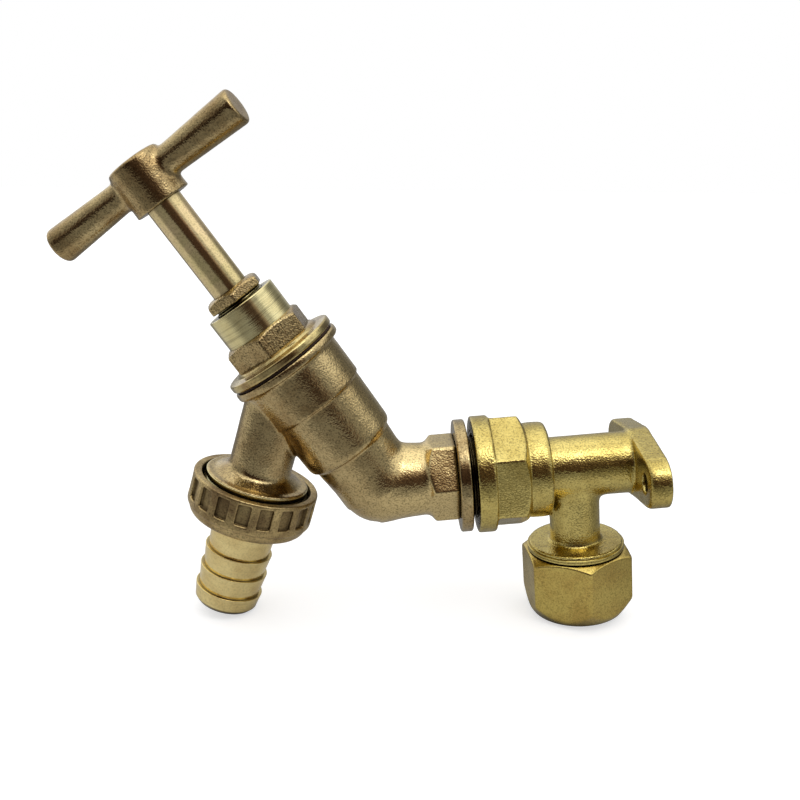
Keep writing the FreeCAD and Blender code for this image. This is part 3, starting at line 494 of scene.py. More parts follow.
def brass(name, colour, tarnish, roughness, grain, lines=0.0, place=None, dirt=0.5, fresh=None):
    """Brass with stains, worn edges brightened further by a painted highlight, and corners darkened by dirt
    and by painted shade, also from ambient occlusion. grain and lines are depths in millimetres.

    fresh is the colour near the wall, where the tap is less tarnished.
    """
    material, tree, shader = new_material(name)
    link = tree.links.new
    source = tree.nodes.new("ShaderNodeTexCoord").outputs["Object"]
    stains = noise_map(tree, source, STAIN_SCALE, 5, 0.65, 0.4)
    sand = node_of(tree, "ShaderNodeTexVoronoi", Vector=source, Scale=SAND_SCALE)
    skin = mixed(tree, "MIX", 0.5, sand.outputs["Distance"], noise_map(tree, source, SKIN_SCALE, 2, 0.6))
    pits = noise_map(tree, source, PIT_SCALE, 3, 0.6)
    base = ramp(tree, stains, (0.34, shade(tarnish, 1.0)), (0.6, shade(colour, 1.0)))
    if fresh:
        reach = fade(tree, reach_along(tree, source, (1, 0, 0)), -0.078, -0.058, 0.0, 1.0)
        base = mixed(tree, "MIX", reach, base, shade(fresh, 1.0))
    base = mixed(tree, "MULTIPLY", dirt, base, ramp(tree, pits, (0.35, grey(0.25)), (0.53, grey(1.0))))
    rough = ramp(tree, stains, (0.3, grey(roughness + 0.07)), (0.7, grey(roughness - 0.04)))
    normal = bumped(tree, skin, grain)
    if lines:
        tool = tool_marks(tree, source, place)
        streaks = ramp(tree, tool, (0.36, grey(0.3)), (0.5, grey(1.0)))
        base = mixed(tree, "MULTIPLY", min(0.6, lines * 10), base, streaks)
        normal = bumped(tree, tool, lines, normal)
    mark = node_of(tree, "ShaderNodeAttribute", attribute_name="edge").outputs["Fac"]
    edge = maths(tree, "MULTIPLY_ADD", mark, 0.5, 0.5)
    # Edges that bulge are brightened: wear, with a painted highlight. Dips are darkened: dirt, with painted
    # shade.
    worn_and_highlight = ramp(tree, edge, (0.58, grey(0.0)), (0.8, grey(0.8)))
    dirt_and_shade = ramp(tree, edge, (0.15, grey(0.85)), (0.4, grey(0.0)))
    base = mixed(tree, "MIX", worn_and_highlight, base, shade(colour, min(1.45, 1 / max(colour))))
    base = mixed(tree, "MIX", dirt_and_shade, base, shade(tarnish, 0.3))
    # Ambient occlusion darkens creases and gaps between parts: painted shade
    corner = node_of(tree, "ShaderNodeAmbientOcclusion", samples=8, Distance=0.005)
    painted_occlusion_shade = ramp(tree, corner.outputs["AO"], (0.25, grey(0.15)), (0.75, grey(1.0)))
    base = mixed(tree, "MULTIPLY", 0.9, base, painted_occlusion_shade)
    link(base, shader.inputs["Base Color"])
    link(rough, shader.inputs["Roughness"])
    link(normal, shader.inputs["Normal"])
    shader.inputs["Metallic"].default_value = 1.0
    return material


def soft_finish(name, colour, roughness, scale):
    """Rubber, pressed fibre or plaited yarn: matt, with a fine grain."""
    material, tree, shader = new_material(name)
    link = tree.links.new
    source = tree.nodes.new("ShaderNodeTexCoord").outputs["Object"]
    broad = noise_map(tree, source, 200)
    fine = noise_map(tree, source, scale, 3, 0.7)
    base = ramp(tree, broad, (0.3, shade(colour, 0.7)), (0.7, shade(colour, 1.15)))
    base = mixed(tree, "MULTIPLY", 0.5, base, ramp(tree, fine, (0.35, grey(0.5)), (0.65, grey(1.0))))
    link(base, shader.inputs["Base Color"])
    link(ramp(tree, fine, (0.3, grey(roughness + 0.08)), (0.7, grey(roughness - 0.08))),
         shader.inputs["Roughness"])
    bump = node_of(tree, "ShaderNodeBump", Strength=0.6, Distance=0.1 * MM, Height=fine)
    link(bump.outputs[0], shader.inputs["Normal"])
    return material


def mark_edges(mesh, reach=0.9, recess=None):
    """Stores where a mesh bulges (towards 1) and where it dips (towards 0), for the finishes: wear and a
    painted highlight on bulges, dirt and painted shade in dips.

    recess tells which points lie in a recess, which is darkened further with painted shade.
    """
    count = len(mesh.vertices)
    points = np.empty(count * 3)
    mesh.vertices.foreach_get("co", points)
    points = points.reshape(-1, 3)
    normals = np.empty(count * 3)
    mesh.vertices.foreach_get("normal", normals)
    normals = normals.reshape(-1, 3)
    pairs = np.empty(len(mesh.edges) * 2, dtype=np.int64)
    mesh.edges.foreach_get("vertices", pairs)
    first, second = pairs.reshape(-1, 2).T
    share = np.bincount(pairs, minlength=count).clip(1)

    def spread(values):
        total = np.stack([np.bincount(first, values[second, k], count)
                          + np.bincount(second, values[first, k], count) for k in range(values.shape[1])], 1)
        return total / share[:, None]

    offset = points - spread(points)
    length = np.linalg.norm(points[first] - points[second], axis=1).mean()
    bulge = (offset * normals).sum(1)[:, None] / length
    for _ in range(5):
        bulge = 0.5 * bulge + 0.5 * spread(bulge)
    wear_and_shading = PLAIN + bulge[:, 0] / reach
    if recess:
        # A recess is painted darker still: painted shade
        wear_and_shading[recess(points)] -= RECESS_DIRT_AND_SHADE
    store_wear_and_shading(mesh, wear_and_shading.clip(0, 1))


def place_piece(name, mesh, body, finish, node):
    """Puts a finished mesh into the scene as a piece that stands for a solid."""
    mesh.transform(Matrix.Scale(MM, 4))
    mesh.name = name
    mesh.materials.clear()
    mesh.materials.append(bpy.data.materials[finish])
    mesh.shade_smooth()
    if "edge" not in mesh.attributes:
        mark_edges(mesh)
    piece = bpy.data.objects.new(name, mesh)
    bpy.context.scene.collection.objects.link(piece)
    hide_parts(node)
    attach(piece, body)


# Sizes and colours that a user would change

def length(name, description, default):
    return FloatProperty(name=name, description=description, default=default, min=0.0, precision=3)


def light(name, description, default):
    return FloatProperty(name=name, description=description, default=default, min=0.0)


def colour(name, description, default):
    return FloatVectorProperty(name=name, description=description, default=default, subtype="COLOR",
                               min=0.0, max=1.0)


class TapSizes(PropertyGroup):
    mesh_step: length("Mesh step", "Spacing of the casting's mesh in millimetres", 0.34)
    fine_step: length("Fine mesh step", "Spacing of the small pieces' mesh in millimetres", 0.22)
    casting_fillet: length("Casting fillet", "Radius where cast shapes meet in millimetres", 1.2)
    crotch_fillet: length("Crotch fillet", "Radius between spout and barrel in millimetres", 0.9)
    grain_depth: length("Grain depth", "Depth of the sand grain in millimetres", 0.12)
    window_count: IntProperty(name="Windows", description="Windows round the union nut", default=18, min=3)
    window_width: length("Window width", "Width of one window in millimetres", 3.2)
    window_depth: length("Window depth", "Depth of the windows in millimetres", 0.8)


class TapColours(PropertyGroup):
    tap: colour("Tap", "Cast brass of the tap", (0.6, 0.465, 0.23))
    tap_tarnish: colour("Tap tarnish", "Dull areas of the tap", (0.38, 0.26, 0.115))
    hexagon: colour("Hexagons", "Darker brass of the bonnet's hexagons", (0.54, 0.415, 0.2))
    inlet: colour("Inlet", "Brighter cast brass towards the inlet", (0.76, 0.59, 0.28))
    elbow: colour("Elbow", "Cast brass of the elbow", (0.74, 0.6, 0.2))
    elbow_tarnish: colour("Elbow tarnish", "Dull areas of the elbow", (0.56, 0.43, 0.125))
    nut: colour("Compression nut", "Satin brass of the compression nut", (0.75, 0.58, 0.165))
    nut_tarnish: colour("Compression nut tarnish", "Dull areas of the compression nut", (0.62, 0.44, 0.12))
    turned: colour("Turned brass", "Bright turned brass", (0.84, 0.75, 0.4))
    turned_tarnish: colour("Turned tarnish", "Dull areas of turned brass", (0.72, 0.6, 0.29))
    flange: colour("Flange", "Turned flange of the bonnet", (0.74, 0.61, 0.27))
    stem: colour("Stem", "Plain stem", (0.86, 0.67, 0.37))
    union: colour("Union nut", "Dull cast nut", (0.62, 0.47, 0.215))
    union_tarnish: colour("Union tarnish", "Dull areas of the union nut", (0.3, 0.205, 0.095))
    tail_tarnish: colour("Tail tarnish", "Dull areas of the hose tail", (0.8, 0.61, 0.26))
    tail: colour("Hose tail", "Pale satin tail", (0.98, 0.8, 0.37))


class StageSizes(PropertyGroup):
    key: FloatProperty(name="Key light", description="Strength of the soft lamp", default=0.25, unit="POWER")
    walls: light("Walls", "Brightness of the studio's walls", 0.45)
    right: light("Right wall", "Brightness of the right wall", 0.3)
    left: light("Left front", "What is left of the walls' light at the left in front", 0.55)
    corner: light("Far corner", "Brightness of the far right corner", 0.18)
    window: light("Window", "Brightness of the window at the upper right", 1.1)
    backdrop: light("Backdrop", "Brightness of the backdrop where the metal reflects it", 1.0)
    dark: light("Dark side", "What is left of the walls' light behind the camera", 0.12)
    ceiling: light("Ceiling", "Brightness of the soft box overhead", 1.45)
    lens: length("Lens", "Focal length in millimetres", 43.508)


# Pieces

class TAP_OT_finishes(Operator):
    """Makes the brass, rubber, fibre and yarn finishes"""
    bl_idname = "tap.finishes"
    bl_label = "Finishes"

    def execute(self, context):
        tints = context.scene.tap_colours
        brass("cast_tap_brass", tints.tap, tints.tap_tarnish, 0.18, 0.065, dirt=0.65, fresh=tints.inlet)
        brass("cast_elbow_brass", tints.elbow, tints.elbow_tarnish, 0.18, 0.09, dirt=0.6)
        brass("hexagon_brass", tints.hexagon, tints.tap_tarnish, 0.18, 0.12, dirt=0.9)
        brass("nut_brass", tints.nut, tints.nut_tarnish, 0.24, 0.03, 0.03, WALL, dirt=0.4)
        brass("turned_tap_brass", tints.turned, tints.turned_tarnish, 0.14, 0.005, 0.05, BONNET, dirt=0.1)
        brass("turned_flange_brass", tints.flange, tints.tap_tarnish, 0.15, 0.015, 0.02, BONNET, dirt=0.4)
        brass("turned_inlet_brass", tints.tap, tints.tap_tarnish, 0.15, 0.04, 0.02, WALL, dirt=0.7)
        brass("turned_branch_brass", tints.elbow, tints.elbow_tarnish, 0.12, 0.01, 0.01, BRANCH, dirt=0.5)
        brass("turned_spout_brass", tints.turned, tints.turned_tarnish, 0.15, 0.02, 0.02, OUTLET, dirt=0.3)
        brass("union_nut_brass_finish", tints.union, tints.union_tarnish, 0.36, 0.07, dirt=0.65)
        brass("hose_tail_satin", tints.tail, tints.tail_tarnish, 0.17, 0.03, 0.014, OUTLET, dirt=0.25)
        brass("stem_finish", tints.stem, tints.turned_tarnish, 0.11, 0.012, 0.006, BONNET, dirt=0.4)
        soft_finish("washer_rubber_finish", (0.03, 0.03, 0.032), 0.75, 4000)
        soft_finish("pressed_fibre_finish", (0.09, 0.05, 0.035), 0.85, 5000)
        soft_finish("plaited_yarn_finish", (0.3, 0.27, 0.22), 0.8, 3000)
        return {"FINISHED"}


class TAP_OT_casting(Operator):
    """Makes the tap's casting with its turned flange, ring and threads"""
    bl_idname = "tap.casting"
    bl_label = "Tap casting"

    def execute(self, context):
        sizes = context.scene.tap_sizes
        shape = Shape("tap_casting")
        fillet = shape.size("Casting fillet", sizes.casting_fillet)
        crotch = shape.size("Crotch fillet", sizes.crotch_fillet)
        grain_depth = shape.size("Grain depth", sizes.grain_depth)
        wall, bonnet, outlet = shape.line(WALL), shape.line(BONNET), shape.line(OUTLET)
        body = joined(cone(wall, 50, BEND, 8.357, 9.5), ball(wall, BEND, 9.5), 1.0)
        body = joined(body, cone(bonnet, 0, 14, 9.5, 10.45), fillet)
        body = joined(body, cone(bonnet, 11.2, 36.8, 11.4, 11.95, 1.6), 0.25)
        body = joined(body, rod(outlet, 6, 29.6, 7.5), crotch)
        body = joined(body, rod(bonnet, 25.5, 36.5, 12.25, 0.3), 0.25)
        body = joined(body, rod(bonnet, 35.8, 37.8, 14.0, 0.5), 0.7)
        disc = joined(rod(outlet, 28.8, 30.1, 12.3, 0.3), cone(outlet, 26.6, 29.6, 6.6, 12.0), 0.2)
        body = joined(body, disc, 0.9)
        body = joined(body, hexagon(wall, 18.5, 46.3, 53.2, 0, 0.35, high=17.2), fillet)
        body = body + shape.grain(0.7, grain_depth)
        seat = cut(rod(bonnet, 17, 19.5, 7.4), rod(bonnet, 0, 30, TAP_WAY))
        chamber = cut(rod(bonnet, 18, 45, CHAMBER), seat)
        way = joined(rod(wall, 30, BEND, TAP_WAY), ball(wall, BEND, TAP_WAY))
        way = joined(way, rod(bonnet, 0, 18.5, TAP_WAY))
        way = joined(joined(way, chamber), rod(bonnet, 31, 45, 10.1))
        body = cut(body, joined(way, rod(outlet, 8, 40, SPOUT_WAY)), 0.2)
        mesh = shape.mesh(body, (-108, -15.5, -12), (-46, 15.5, 41), sizes.mesh_step, "cast_tap_brass")
        flange = turned("inlet_flange", WALL, [
            (INLET_FLANGE, TAP_WAY), (INLET_FLANGE, 13.5, 0.5), (46.3, 13.5, 0.5), (46.3, 8.9, 0.1),
            (46.9, 8.9), (46.9, TAP_WAY)])
        inlet = threaded("inlet_thread", WALL, INLET_END, INLET_FLANGE, *G_HALF,
                         [(INLET_FLANGE, TAP_WAY), (INLET_END, TAP_WAY)])
        ring = turned("spout_ring", OUTLET, [
            (29.3, SPOUT_WAY), (29.3, 11.9, 0.1), (29.0, 12.4, 0.15), (SPOUT_SHOULDER, 12.4, 0.2),
            (SPOUT_SHOULDER, SPOUT_WAY)])
        spout = threaded("spout_thread", OUTLET, SPOUT_SHOULDER, SPOUT_END, *G_THREE_QUARTER,
                         [(SPOUT_END, 7.5), (30.5, 7.5), (SPOUT_SHOULDER, SPOUT_WAY)])
        for name, piece, finish in (
                ("tap_casting", mesh, "cast_tap_brass"), ("inlet_flange", flange, "turned_inlet_brass"),
                ("inlet_thread", inlet, "turned_inlet_brass"), ("spout_ring", ring, "turned_spout_brass"),
                ("spout_thread", spout, "turned_spout_brass")):
            place_piece(name, piece, "tap", finish, "tap_body")
        return {"FINISHED"}


class TAP_OT_elbow(Operator):
    """Makes the wall plate elbow with its turned ring and thread"""
    bl_idname = "tap.elbow"
    bl_label = "Wall plate elbow"

    def execute(self, context):
        sizes = context.scene.tap_sizes
        shape = Shape("elbow_casting")
        fillet = shape.size("Casting fillet", sizes.casting_fillet)
        middle, flank, lug_radius, screw_reach = 8.2, 6.0, 5.9, 14.5
        spacing = shape.size("Screw spacing", screw_reach * 2)
        grain_depth = shape.size("Grain depth", sizes.grain_depth)
        wall, branch = shape.line(WALL), shape.line(BRANCH)
        across, along = wall.x.size(), wall.y.size()
        lean = (middle - flank) / screw_reach
        straight = math.sqrt(1 - lean * lean)
        from_lug = along - spacing * 0.5
        lug = (across * across + from_lug * from_lug).math("SQRT") - lug_radius
        side = across * straight + along * lean - middle
        station = along * straight - across * lean
        plate = side + (lug - side) * station.math("GREATER_THAN", straight * screw_reach)
        plate = plate + (wall.radius - middle - side) * station.math("LESS_THAN", 0.0)
        plate = common(common(plate, wall.z - 5.0, 1.0), -wall.z + 0.1, 0.3)
        body = joined(plate, rod(wall, 2.5, 26, 7.4), 0.6)
        body = joined(body, rod(wall, 24.4, 30.5, 11.4, 1.4), 0.5)
        body = joined(body, hexagon(wall, 24.0, 29.8, 38.3, 30, 0.3, low=22.8), 0.3)
        body = joined(body, rod(wall, 37.9, 42.2, 14.0, 0.5), 0.4)
        tube = joined(rod(branch, 0, 19.8, 6.0), rod(branch, 18.9, 20.2, 11.2, 0.2), 1.0)
        body = joined(body, tube, fillet * 1.3)
        body = body + shape.grain(0.6, grain_depth)
        way = joined(rod(wall, 29.6, 50, SOCKET_BORE), rod(wall, BRANCH_REACH, 50, ELBOW_WAY))
        way = joined(way, joined(ball(branch, 0, ELBOW_WAY), rod(branch, 0, 30, BRANCH_WAY)))
        hole = (wall.x * wall.x + from_lug * from_lug).math("SQRT") - PLATE_SCREW_HOLE
        hole = common(hole, slab(wall, -2, 8))
        body = cut(body, joined(way, hole), 0.35)
        mesh = shape.mesh(body, (-43.5, -21.5, -21.5), (1, 21.5, 15), sizes.mesh_step * 0.9,
                          "cast_elbow_brass")
        ring = turned("branch_ring", BRANCH, [
            (19.55, BRANCH_WAY), (19.55, 11.5, 0.1), (19.65, 11.65, 0.05), (20.0, 11.65, 0.05),
            (20.1, 11.5, 0.05), (20.2, 11.65, 0.05), (BRANCH_SHOULDER, 11.65, 0.05),
            (BRANCH_SHOULDER, BRANCH_WAY)])
        thread = threaded("branch_thread", BRANCH, BRANCH_SHOULDER, BRANCH_END, *G_HALF, [
            (BRANCH_END, 8.525), (26.8, 7.6), (21.2, 7.6), (21.2, BRANCH_WAY), (BRANCH_SHOULDER, BRANCH_WAY)])
        for name, piece, finish in (
                ("elbow_casting", mesh, "cast_elbow_brass"), ("branch_ring", ring, "turned_branch_brass"),
                ("branch_thread", thread, "turned_branch_brass")):
            place_piece(name, piece, "tap", finish, "wall_plate_elbow")
        return {"FINISHED"}


class TAP_OT_compression_nut(Operator):
    """Makes the hexagonal nut under the branch"""
    bl_idname = "tap.compression_nut"
    bl_label = "Compression nut"

    def execute(self, context):
        sizes = context.scene.tap_sizes
        shape = Shape("compression_nut_body")
        rounding = shape.size("Edge rounding", 0.3)
        branch = shape.line()
        body = hexagon(branch, 24.0, 20.9, NUT_FOOT, -3.3, rounding, low=23.3)
        body = common(body, cone(branch, 10, NUT_FOOT, 28.9, NUT_LAND), rounding)
        hole = joined(rod(branch, 10, 31.275, SOCKET_BORE), cone(branch, 31.2, 35.28, 8.94, PIPE_HOLE))
        body = cut(body, joined(hole, rod(branch, 10, 50, PIPE_HOLE)), 0.15)
        body = body + shape.grain(0.5, sizes.grain_depth * 0.3)
        mesh = shape.mesh(body, (-15, -15, 20), (15, 15, 38), sizes.fine_step, "nut_brass")
        # The nut's foot is painted darker: a painted shadow where it meets the floor
        mark_edges(mesh, recess=lambda points: points[:, 2] > 36.3)
        mesh.transform(BRANCH)
        place_piece("compression_nut_body", mesh, "pipe_nut", "nut_brass",
                    "compression_nut")
        return {"FINISHED"}


class TAP_OT_bonnet(Operator):
    """Makes the bonnet and the gland screw"""
    bl_idname = "tap.bonnet"
    bl_label = "Bonnet and gland screw"

    def execute(self, context):
        sizes = context.scene.tap_sizes
        skirt = threaded("bonnet_skirt", BONNET, SKIRT_END, BONNET_SEAT, *BONNET_THREAD, [
            (BONNET_SEAT, BONNET_BORE), (33.3, BONNET_BORE), (33.3, 7.5), (SKIRT_END, 7.5)])
        flange = turned("bonnet_flange", BONNET, [
            (BONNET_SEAT, BONNET_BORE), (BONNET_SEAT, 13.95, 0.5), (40.2, 13.95, 0.5), (40.4, 11.2, 0.4),
            (41.3, 10.4), (41.3, BONNET_BORE)])
        top = turned("bonnet_top", BONNET, [
            (46.6, BONNET_BORE), (46.6, 8.65, 0.05), (54.4, 8.65, 0.3), (54.4, 6.3, 0.2), (48.6, 6.3),
            (48.6, GLAND_BORE), (47.1, GLAND_BORE), (47.1, BONNET_BORE)])
        for name, piece, finish in (
                ("bonnet_skirt", skirt, "turned_tap_brass"), ("bonnet_flange", flange, "turned_flange_brass"),
                ("bonnet_top", top, "turned_tap_brass")):
            place_piece(name, piece, "tap", finish, "bonnet")
        for name, flats, start, end, turn, land, bore, node in (
                ("bonnet_hexagon", 18.5, 41.0, 46.8, 0, 17.6, BONNET_BORE, "bonnet"),
                ("gland_hexagon", 13.0, GLAND_SHOULDER, 58.2, 6, 11.4, GLAND_BORE, "gland_nut")):
            shape = Shape(name)
            rounding = shape.size("Edge rounding", 0.25)
            line = shape.line()
            body = hexagon(line, flats, start, end, turn, rounding, high=land)
            body = cut(body, rod(line, 30, 70, bore), 0.1)
            body = body + shape.grain(0.5, sizes.grain_depth * 0.6)
            mesh = shape.mesh(body, (-12, -12, start - 1), (12, 12, end + 1), sizes.fine_step * 0.85,
                              "hexagon_brass")
            mesh.transform(BONNET)
            place_piece(name, mesh, "tap", "hexagon_brass", node)
        shank = threaded("gland_shank", BONNET, 51.4, GLAND_SHOULDER, *GLAND_THREAD,
                         [(GLAND_SHOULDER, GLAND_BORE), (51.4, GLAND_BORE)])
        place_piece("gland_shank", shank, "tap", "turned_tap_brass", "gland_nut")
        return {"FINISHED"}


class TAP_OT_handle(Operator):
    """Makes the tee handle"""
    bl_idname = "tap.handle"
    bl_label = "Tee handle"

    def execute(self, context):
        sizes = context.scene.tap_sizes
        shape = Shape("tee_handle_casting")
        fillet = shape.size("Casting fillet", sizes.casting_fillet)
        grain_depth = shape.size("Grain depth", sizes.grain_depth * 0.6)
        to_handle = HANDLE.inverted()
        hub, bar = shape.line(), shape.line(to_handle @ BAR)
        body = common(cone(hub, HUB_FOOT, 99, 6.8, 6.35), hub.z - 93.2, 1.0)
        reach = bar.z.size()
        arms = common(bar.radius - (reach * 0.0391 + 3.25), reach - 26.85, 0.9)
        body = joined(body, arms, fillet)
        body = body + shape.grain(0.7, grain_depth)
        square = common(hub.x.size() - POCKET, hub.y.size() - POCKET, 0.2)
        pocket = common(square, slab(hub, 70, 91.4))
        hole = joined(rod(hub, 80, 100, HANDLE_SCREW_HOLE), cone(hub, 91.7, 94.2, HANDLE_SCREW_HOLE, 4.8))
        body = cut(body, joined(pocket, hole), 0.1)
        mesh = shape.mesh(body, (-28, -8, 80.5), (28, 8, 94.5), sizes.fine_step * 1.15, "cast_tap_brass")
        mesh.transform(HANDLE)
        place_piece("tee_handle_casting", mesh, "handle", "cast_tap_brass", "tee_handle")
        return {"FINISHED"}


class TAP_OT_spindle(Operator):
    """Makes the turned spindle: hollow foot, lifting thread, plain stem and square end"""
    bl_idname = "tap.spindle"
    bl_label = "Spindle"

    def execute(self, context):
        foot, thread_start, thread_end, hollow = 24.85, 31.02, 41.02, 3.48
        rings = plain_rings((36.85, hollow), (foot, hollow), (foot, 4.8), (thread_start, 4.8))
        rings += thread_rings(thread_start, thread_end, *LIFTING_THREAD)
        rings += plain_rings((thread_end, STEM), (41.12, STEM), (81.8, STEM), (HUB_FOOT, STEM),
                             (HUB_FOOT, 4.25))
        stem = plain_wear(turned_mesh("spindle_stem", BONNET, rings, 128, capped=True))
        place_piece("spindle_stem", stem, "handle", "stem_finish", "spindle")

        def square(along):
            return lambda angle: (along, SQUARE / max(abs(math.cos(angle)), abs(math.sin(angle))))

        rings = [square(HUB_FOOT), square(91.1)]
        rings += plain_rings((91.1, HANDLE_SCREW_HOLE), (83.9, HANDLE_SCREW_HOLE))
        end = plain_wear(turned_mesh("spindle_square", HANDLE, rings, 64, capped=True))
        place_piece("spindle_square", end, "handle", "stem_finish", "spindle")
        return {"FINISHED"}


class TAP_OT_union(Operator):
    """Makes the union nut with its windows and the barbed hose tail"""
    bl_idname = "tap.union"
    bl_label = "Union nut and hose tail"

    def execute(self, context):
        sizes = context.scene.tap_sizes
        shape = Shape("union_nut_body")
        count = shape.size("Windows", sizes.window_count)
        width = shape.size("Window width", sizes.window_width)
        depth = shape.size("Window depth", sizes.window_depth)
        line = shape.line()
        outside = 15.2
        window_start, window_end = 30.9, 36.0
        belt = rod(line, 30.5, 40.5, 14.7, 2.6)
        body = joined(rod(line, 29.9, 37.9, outside, 0.45), belt, 0.2)
        pace = count.math("POWER", -1.0) * (2 * math.pi)
        angle = line.y.math("ARCTAN2", line.x) - math.radians(13)
        folded = ((angle.math("DIVIDE", pace) + 0.5).math("FRACT") - 0.5) * pace * outside
        window = common(folded.size() - width * 0.5, slab(line, window_start, window_end), 0.3)
        window = common(window, -line.radius + outside - depth, 0.1)
        body = cut(body, window, 0.15)
        bore = joined(rod(line, 10, 39.35, UNION_BORE), rod(line, 10, 60, TAIL_HOLE))
        body = cut(body, bore, 0.2)
        body = body + shape.grain(0.6, sizes.grain_depth * 0.7)
        mesh = shape.mesh(body, (-16.2, -16.2, 29), (16.2, 16.2, 42), sizes.fine_step * 1.1,
                          "union_nut_brass_finish")
        middle = (window_start + window_end) / 2
        # The window floors are painted darker: painted shade in the recesses
        mark_edges(mesh, recess=lambda points: (np.hypot(points[:, 0], points[:, 1]) < 14.75)
                   & (abs(points[:, 2] - middle) < 2.6))
        mesh.transform(OUTLET)
        place_piece("union_nut_body", mesh, "union", "union_nut_brass_finish", "union_nut")
        crest = 8.3
        steps = [(37.35, TAIL_WAY), (37.35, 12.6, 0.2), (39.25, 12.6, 0.2), (39.25, crest, 0.2)]
        # Each barb's root is painted dark, painted shade in the groove, and its crest is worn and brightened
        # with a painted highlight
        for barb in (48.25, 53.45, 58.65):
            steps += [(barb, TAIL_RADIUS, 0.05, 0.1), (barb, crest, 0.15, 0.62)]
        # The end's chamfer is painted dark: a painted shadow where the tail meets the floor
        steps += [(61.9, 7.73), (62.1, 7.72, 0.0, 0.05), (TAIL_END, 6.9, 0.0, 0.0),
                  (TAIL_END, TAIL_WAY, 0.2)]
        tail = turned("hose_tail_barbs", OUTLET, steps)
        place_piece("hose_tail_barbs", tail, "hose_end", "hose_tail_satin", "hose_tail")
        return {"FINISHED"}


class TAP_OT_inside(Operator):
    """Gives the solids that stay their finishes"""
    bl_idname = "tap.inside"
    bl_label = "Screw, washers and jumper"

    def execute(self, context):
        finishes = {
            "turned_tap_brass": ("handle_screw", "jumper_valve", "washer_nut", "gland_washer"),
            "turned_branch_brass": ("olive",),
            "pressed_fibre_finish": ("bonnet_washer",),
            "washer_rubber_finish": ("tap_washer", "union_washer"),
            "plaited_yarn_finish": ("gland_packing",),
        }
        for finish, nodes in finishes.items():
            for node in nodes:
                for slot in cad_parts[node].material_slots:
                    slot.material = bpy.data.materials[finish]
        return {"FINISHED"}


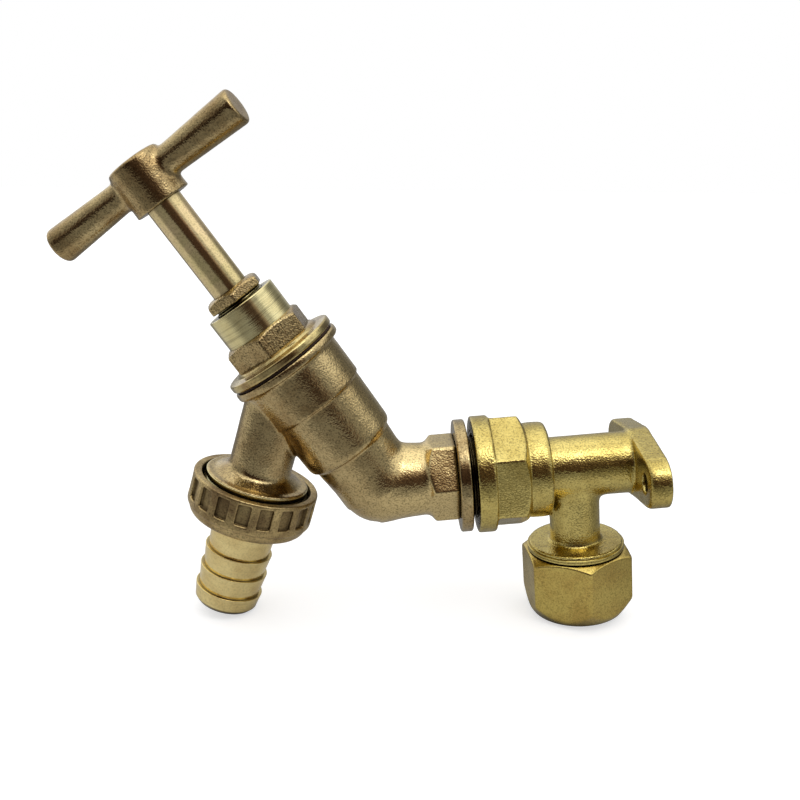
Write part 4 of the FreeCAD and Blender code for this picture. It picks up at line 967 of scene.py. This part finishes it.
class TAP_OT_stage(Operator):
    """Makes the floor, the lamps, the studio's surroundings and the camera"""
    bl_idname = "tap.stage"
    bl_label = "Stage"

    def execute(self, context):
        scene = context.scene
        sizes = scene.tap_stage
        scene.view_settings.view_transform = "Standard"
        self.floor()
        self.surroundings(scene, sizes)
        self.key_lamp(scene, sizes)
        self.camera(scene, sizes)
        return {"FINISHED"}

    def floor(self):
        """A pale floor that the compression nut's edge and the tail's end stand on. The metal sees it darker
        in front, as painted shade, with a painted shadow behind and to the right, and a faint painted glow.
        """
        nut_edge = BRANCH @ Vector((NUT_LAND, 0, NUT_FOOT)) * MM
        tail_end = OUTLET @ Vector((-TAIL_RADIUS, 0, TAIL_END)) * MM
        middle = (nut_edge + tail_end) / 2
        right, back = (nut_edge - tail_end).normalized() * FLOOR_HALF, Vector((0, FLOOR_HALF, 0))
        corners = [middle - right - back, middle + right - back, middle + right + back, middle - right + back]
        mesh = bpy.data.meshes.new("floor")
        mesh.from_pydata(corners, [], [(0, 1, 2, 3)])
        floor = bpy.data.objects.new("floor", mesh)
        bpy.context.scene.collection.objects.link(floor)
        material, tree, shader = new_material("pale_floor")
        shader.inputs["Roughness"].default_value = 0.9
        link = tree.links.new
        path = tree.nodes.new("ShaderNodeLightPath")
        mirrored = maths(tree, "MAXIMUM", path.outputs["Is Glossy Ray"], path.outputs["Is Transmission Ray"])
        place = tree.nodes.new("ShaderNodeTexCoord").outputs["Object"]
        # For the metal's reflections the floor is painted darker in front (painted shade) and behind to the
        # right (a painted shadow)
        painted_shade_front = fade(tree, reach_along(tree, place, (0, 1, 0)), -0.11, -0.05, 0.12, 0.5)
        painted_shadow = fade(tree, reach_along(tree, place, (0.45, 0.9, 0)), -0.025, 0.01, 1.0, 0.25)
        camera_ray = path.outputs["Is Camera Ray"]
        pale = mixed(tree, "MIX", camera_ray, maths(tree, "MULTIPLY", painted_shade_front, painted_shadow), grey(0.6))
        link(pale, shader.inputs["Base Color"])
        # The floor glows faintly in reflections: painted light. For the camera it glows white as the
        # backdrop.
        reflected_glow = mixed(tree, "MULTIPLY", 1.0, mirrored, grey(0.12))
        glow = node_of(tree, "ShaderNodeEmission", mixed(tree, "MIX", camera_ray, reflected_glow, grey(0.63)))
        both = node_of(tree, "ShaderNodeAddShader", shader.outputs[0], glow.outputs[0])
        link(both.outputs[0], tree.nodes["Material Output"].inputs[0])
        mesh.materials.append(material)

    def surroundings(self, scene, sizes):
        """White for the camera. For the metal: walls, a bright ceiling and window, and dark sides."""
        world = bpy.data.worlds.new("studio")
        scene.world = world
        world.use_nodes = True
        tree = world.node_tree
        direction = tree.nodes.new("ShaderNodeTexCoord").outputs["Generated"]
        above = reach_along(tree, direction, (0.1, -0.05, 1))
        room = ramp(tree, above, (0.0, grey(sizes.walls)), (0.3, grey(sizes.walls * 1.2)),
                    (0.7, grey(sizes.ceiling * 0.62)), (0.92, grey(sizes.ceiling)))
        for aim, start, end, value in (
                ((0.87, -0.5, -0.05), 0.8, 0.95, sizes.right),
                ((0.73, -0.13, 0.67), 0.86, 0.94, sizes.window),
                ((0.8, 0.6, -0.05), 0.78, 0.93, sizes.corner),
                ((-0.6, 0.75, 0.32), 0.78, 0.93, sizes.backdrop)):
            share = ramp(tree, reach_along(tree, direction, aim), (start, grey(0)), (end, grey(1)))
            room = mixed(tree, "MIX", share, room, grey(value))
        for aim, *stops in (
                ((-0.14, -0.98, -0.06), (0.56, grey(1)), (0.66, (0.6, 0.46, 0.38, 1)),
                 (0.76, (sizes.dark, sizes.dark * 0.62, sizes.dark * 0.48, 1))),
                ((-0.75, -0.65, 0.1), (0.6, grey(1)), (0.85, grey(sizes.left)))):
            room = mixed(tree, "MULTIPLY", 1.0, room, ramp(tree, reach_along(tree, direction, aim), *stops))
        path = tree.nodes.new("ShaderNodeLightPath")
        seen = mixed(tree, "MIX", path.outputs["Is Camera Ray"], room, grey(1.0))
        tree.links.new(seen, tree.nodes["Background"].inputs["Color"])

    def key_lamp(self, scene, sizes):
        """A soft lamp above the camera, to its right."""
        lamp = bpy.data.lights.new("key_lamp", "AREA")
        lamp.shape = "RECTANGLE"
        lamp.size = lamp.size_y = 0.2
        lamp.energy = sizes.key
        holder = bpy.data.objects.new("key_lamp", lamp)
        holder.location = (0.12, -0.25, 0.45)
        aim = Vector((-0.06, 0, 0.02)) - holder.location
        holder.rotation_euler = aim.to_track_quat("-Z", "Y").to_euler()
        scene.collection.objects.link(holder)

    def camera(self, scene, sizes):
        """The camera at the photograph's viewing angle."""
        camera = bpy.data.cameras.new("camera")
        camera.sensor_fit = "HORIZONTAL"
        camera.sensor_width = 36
        camera.lens = sizes.lens
        camera.shift_x = 0.0347
        camera.shift_y = -0.0043
        camera.clip_start = 0.01
        holder = bpy.data.objects.new("camera", camera)
        turn = Matrix(((0.9963, 0.0840, 0.0172), (-0.0066, 0.2743, -0.9616), (-0.0855, 0.9580, 0.2738)))
        holder.matrix_world = Matrix.Translation((-0.06086, -0.21877, 0.08380)) @ turn.to_4x4()
        scene.collection.objects.link(holder)
        scene.camera = holder


class TAP_PT_pieces(Panel):
    """Lists the pieces and the stage"""
    bl_idname = "TAP_PT_pieces"
    bl_label = "Garden tap"
    bl_space_type = "VIEW_3D"
    bl_region_type = "UI"
    bl_category = "Garden tap"

    def draw(self, context):
        for operator in OPERATORS:
            self.layout.operator(operator.bl_idname)
        for group in ("tap_sizes", "tap_colours", "tap_stage"):
            values = getattr(context.scene, group)
            for name in values.bl_rna.properties.keys():
                if name not in {"rna_type", "name"}:
                    self.layout.prop(values, name)


OPERATORS = (TAP_OT_finishes, TAP_OT_casting, TAP_OT_elbow, TAP_OT_compression_nut, TAP_OT_bonnet,
             TAP_OT_handle, TAP_OT_spindle, TAP_OT_union, TAP_OT_inside, TAP_OT_stage)
CLASSES = (TapSizes, TapColours, StageSizes) + OPERATORS + (TAP_PT_pieces,)


def register():
    for cls in CLASSES:
        bpy.utils.register_class(cls)
    bpy.types.Scene.tap_sizes = PointerProperty(type=TapSizes)
    bpy.types.Scene.tap_colours = PointerProperty(type=TapColours)
    bpy.types.Scene.tap_stage = PointerProperty(type=StageSizes)


def unregister():
    for name in ("tap_stage", "tap_colours", "tap_sizes"):
        delattr(bpy.types.Scene, name)
    for cls in reversed(CLASSES):
        bpy.utils.unregister_class(cls)


def main():
    register()
    bpy.ops.tap.finishes()
    bpy.ops.tap.casting()
    bpy.ops.tap.elbow()
    bpy.ops.tap.compression_nut()
    bpy.ops.tap.bonnet()
    bpy.ops.tap.handle()
    bpy.ops.tap.spindle()
    bpy.ops.tap.union()
    bpy.ops.tap.inside()
    bpy.ops.tap.stage()


if __name__ == "__main__":
    main()
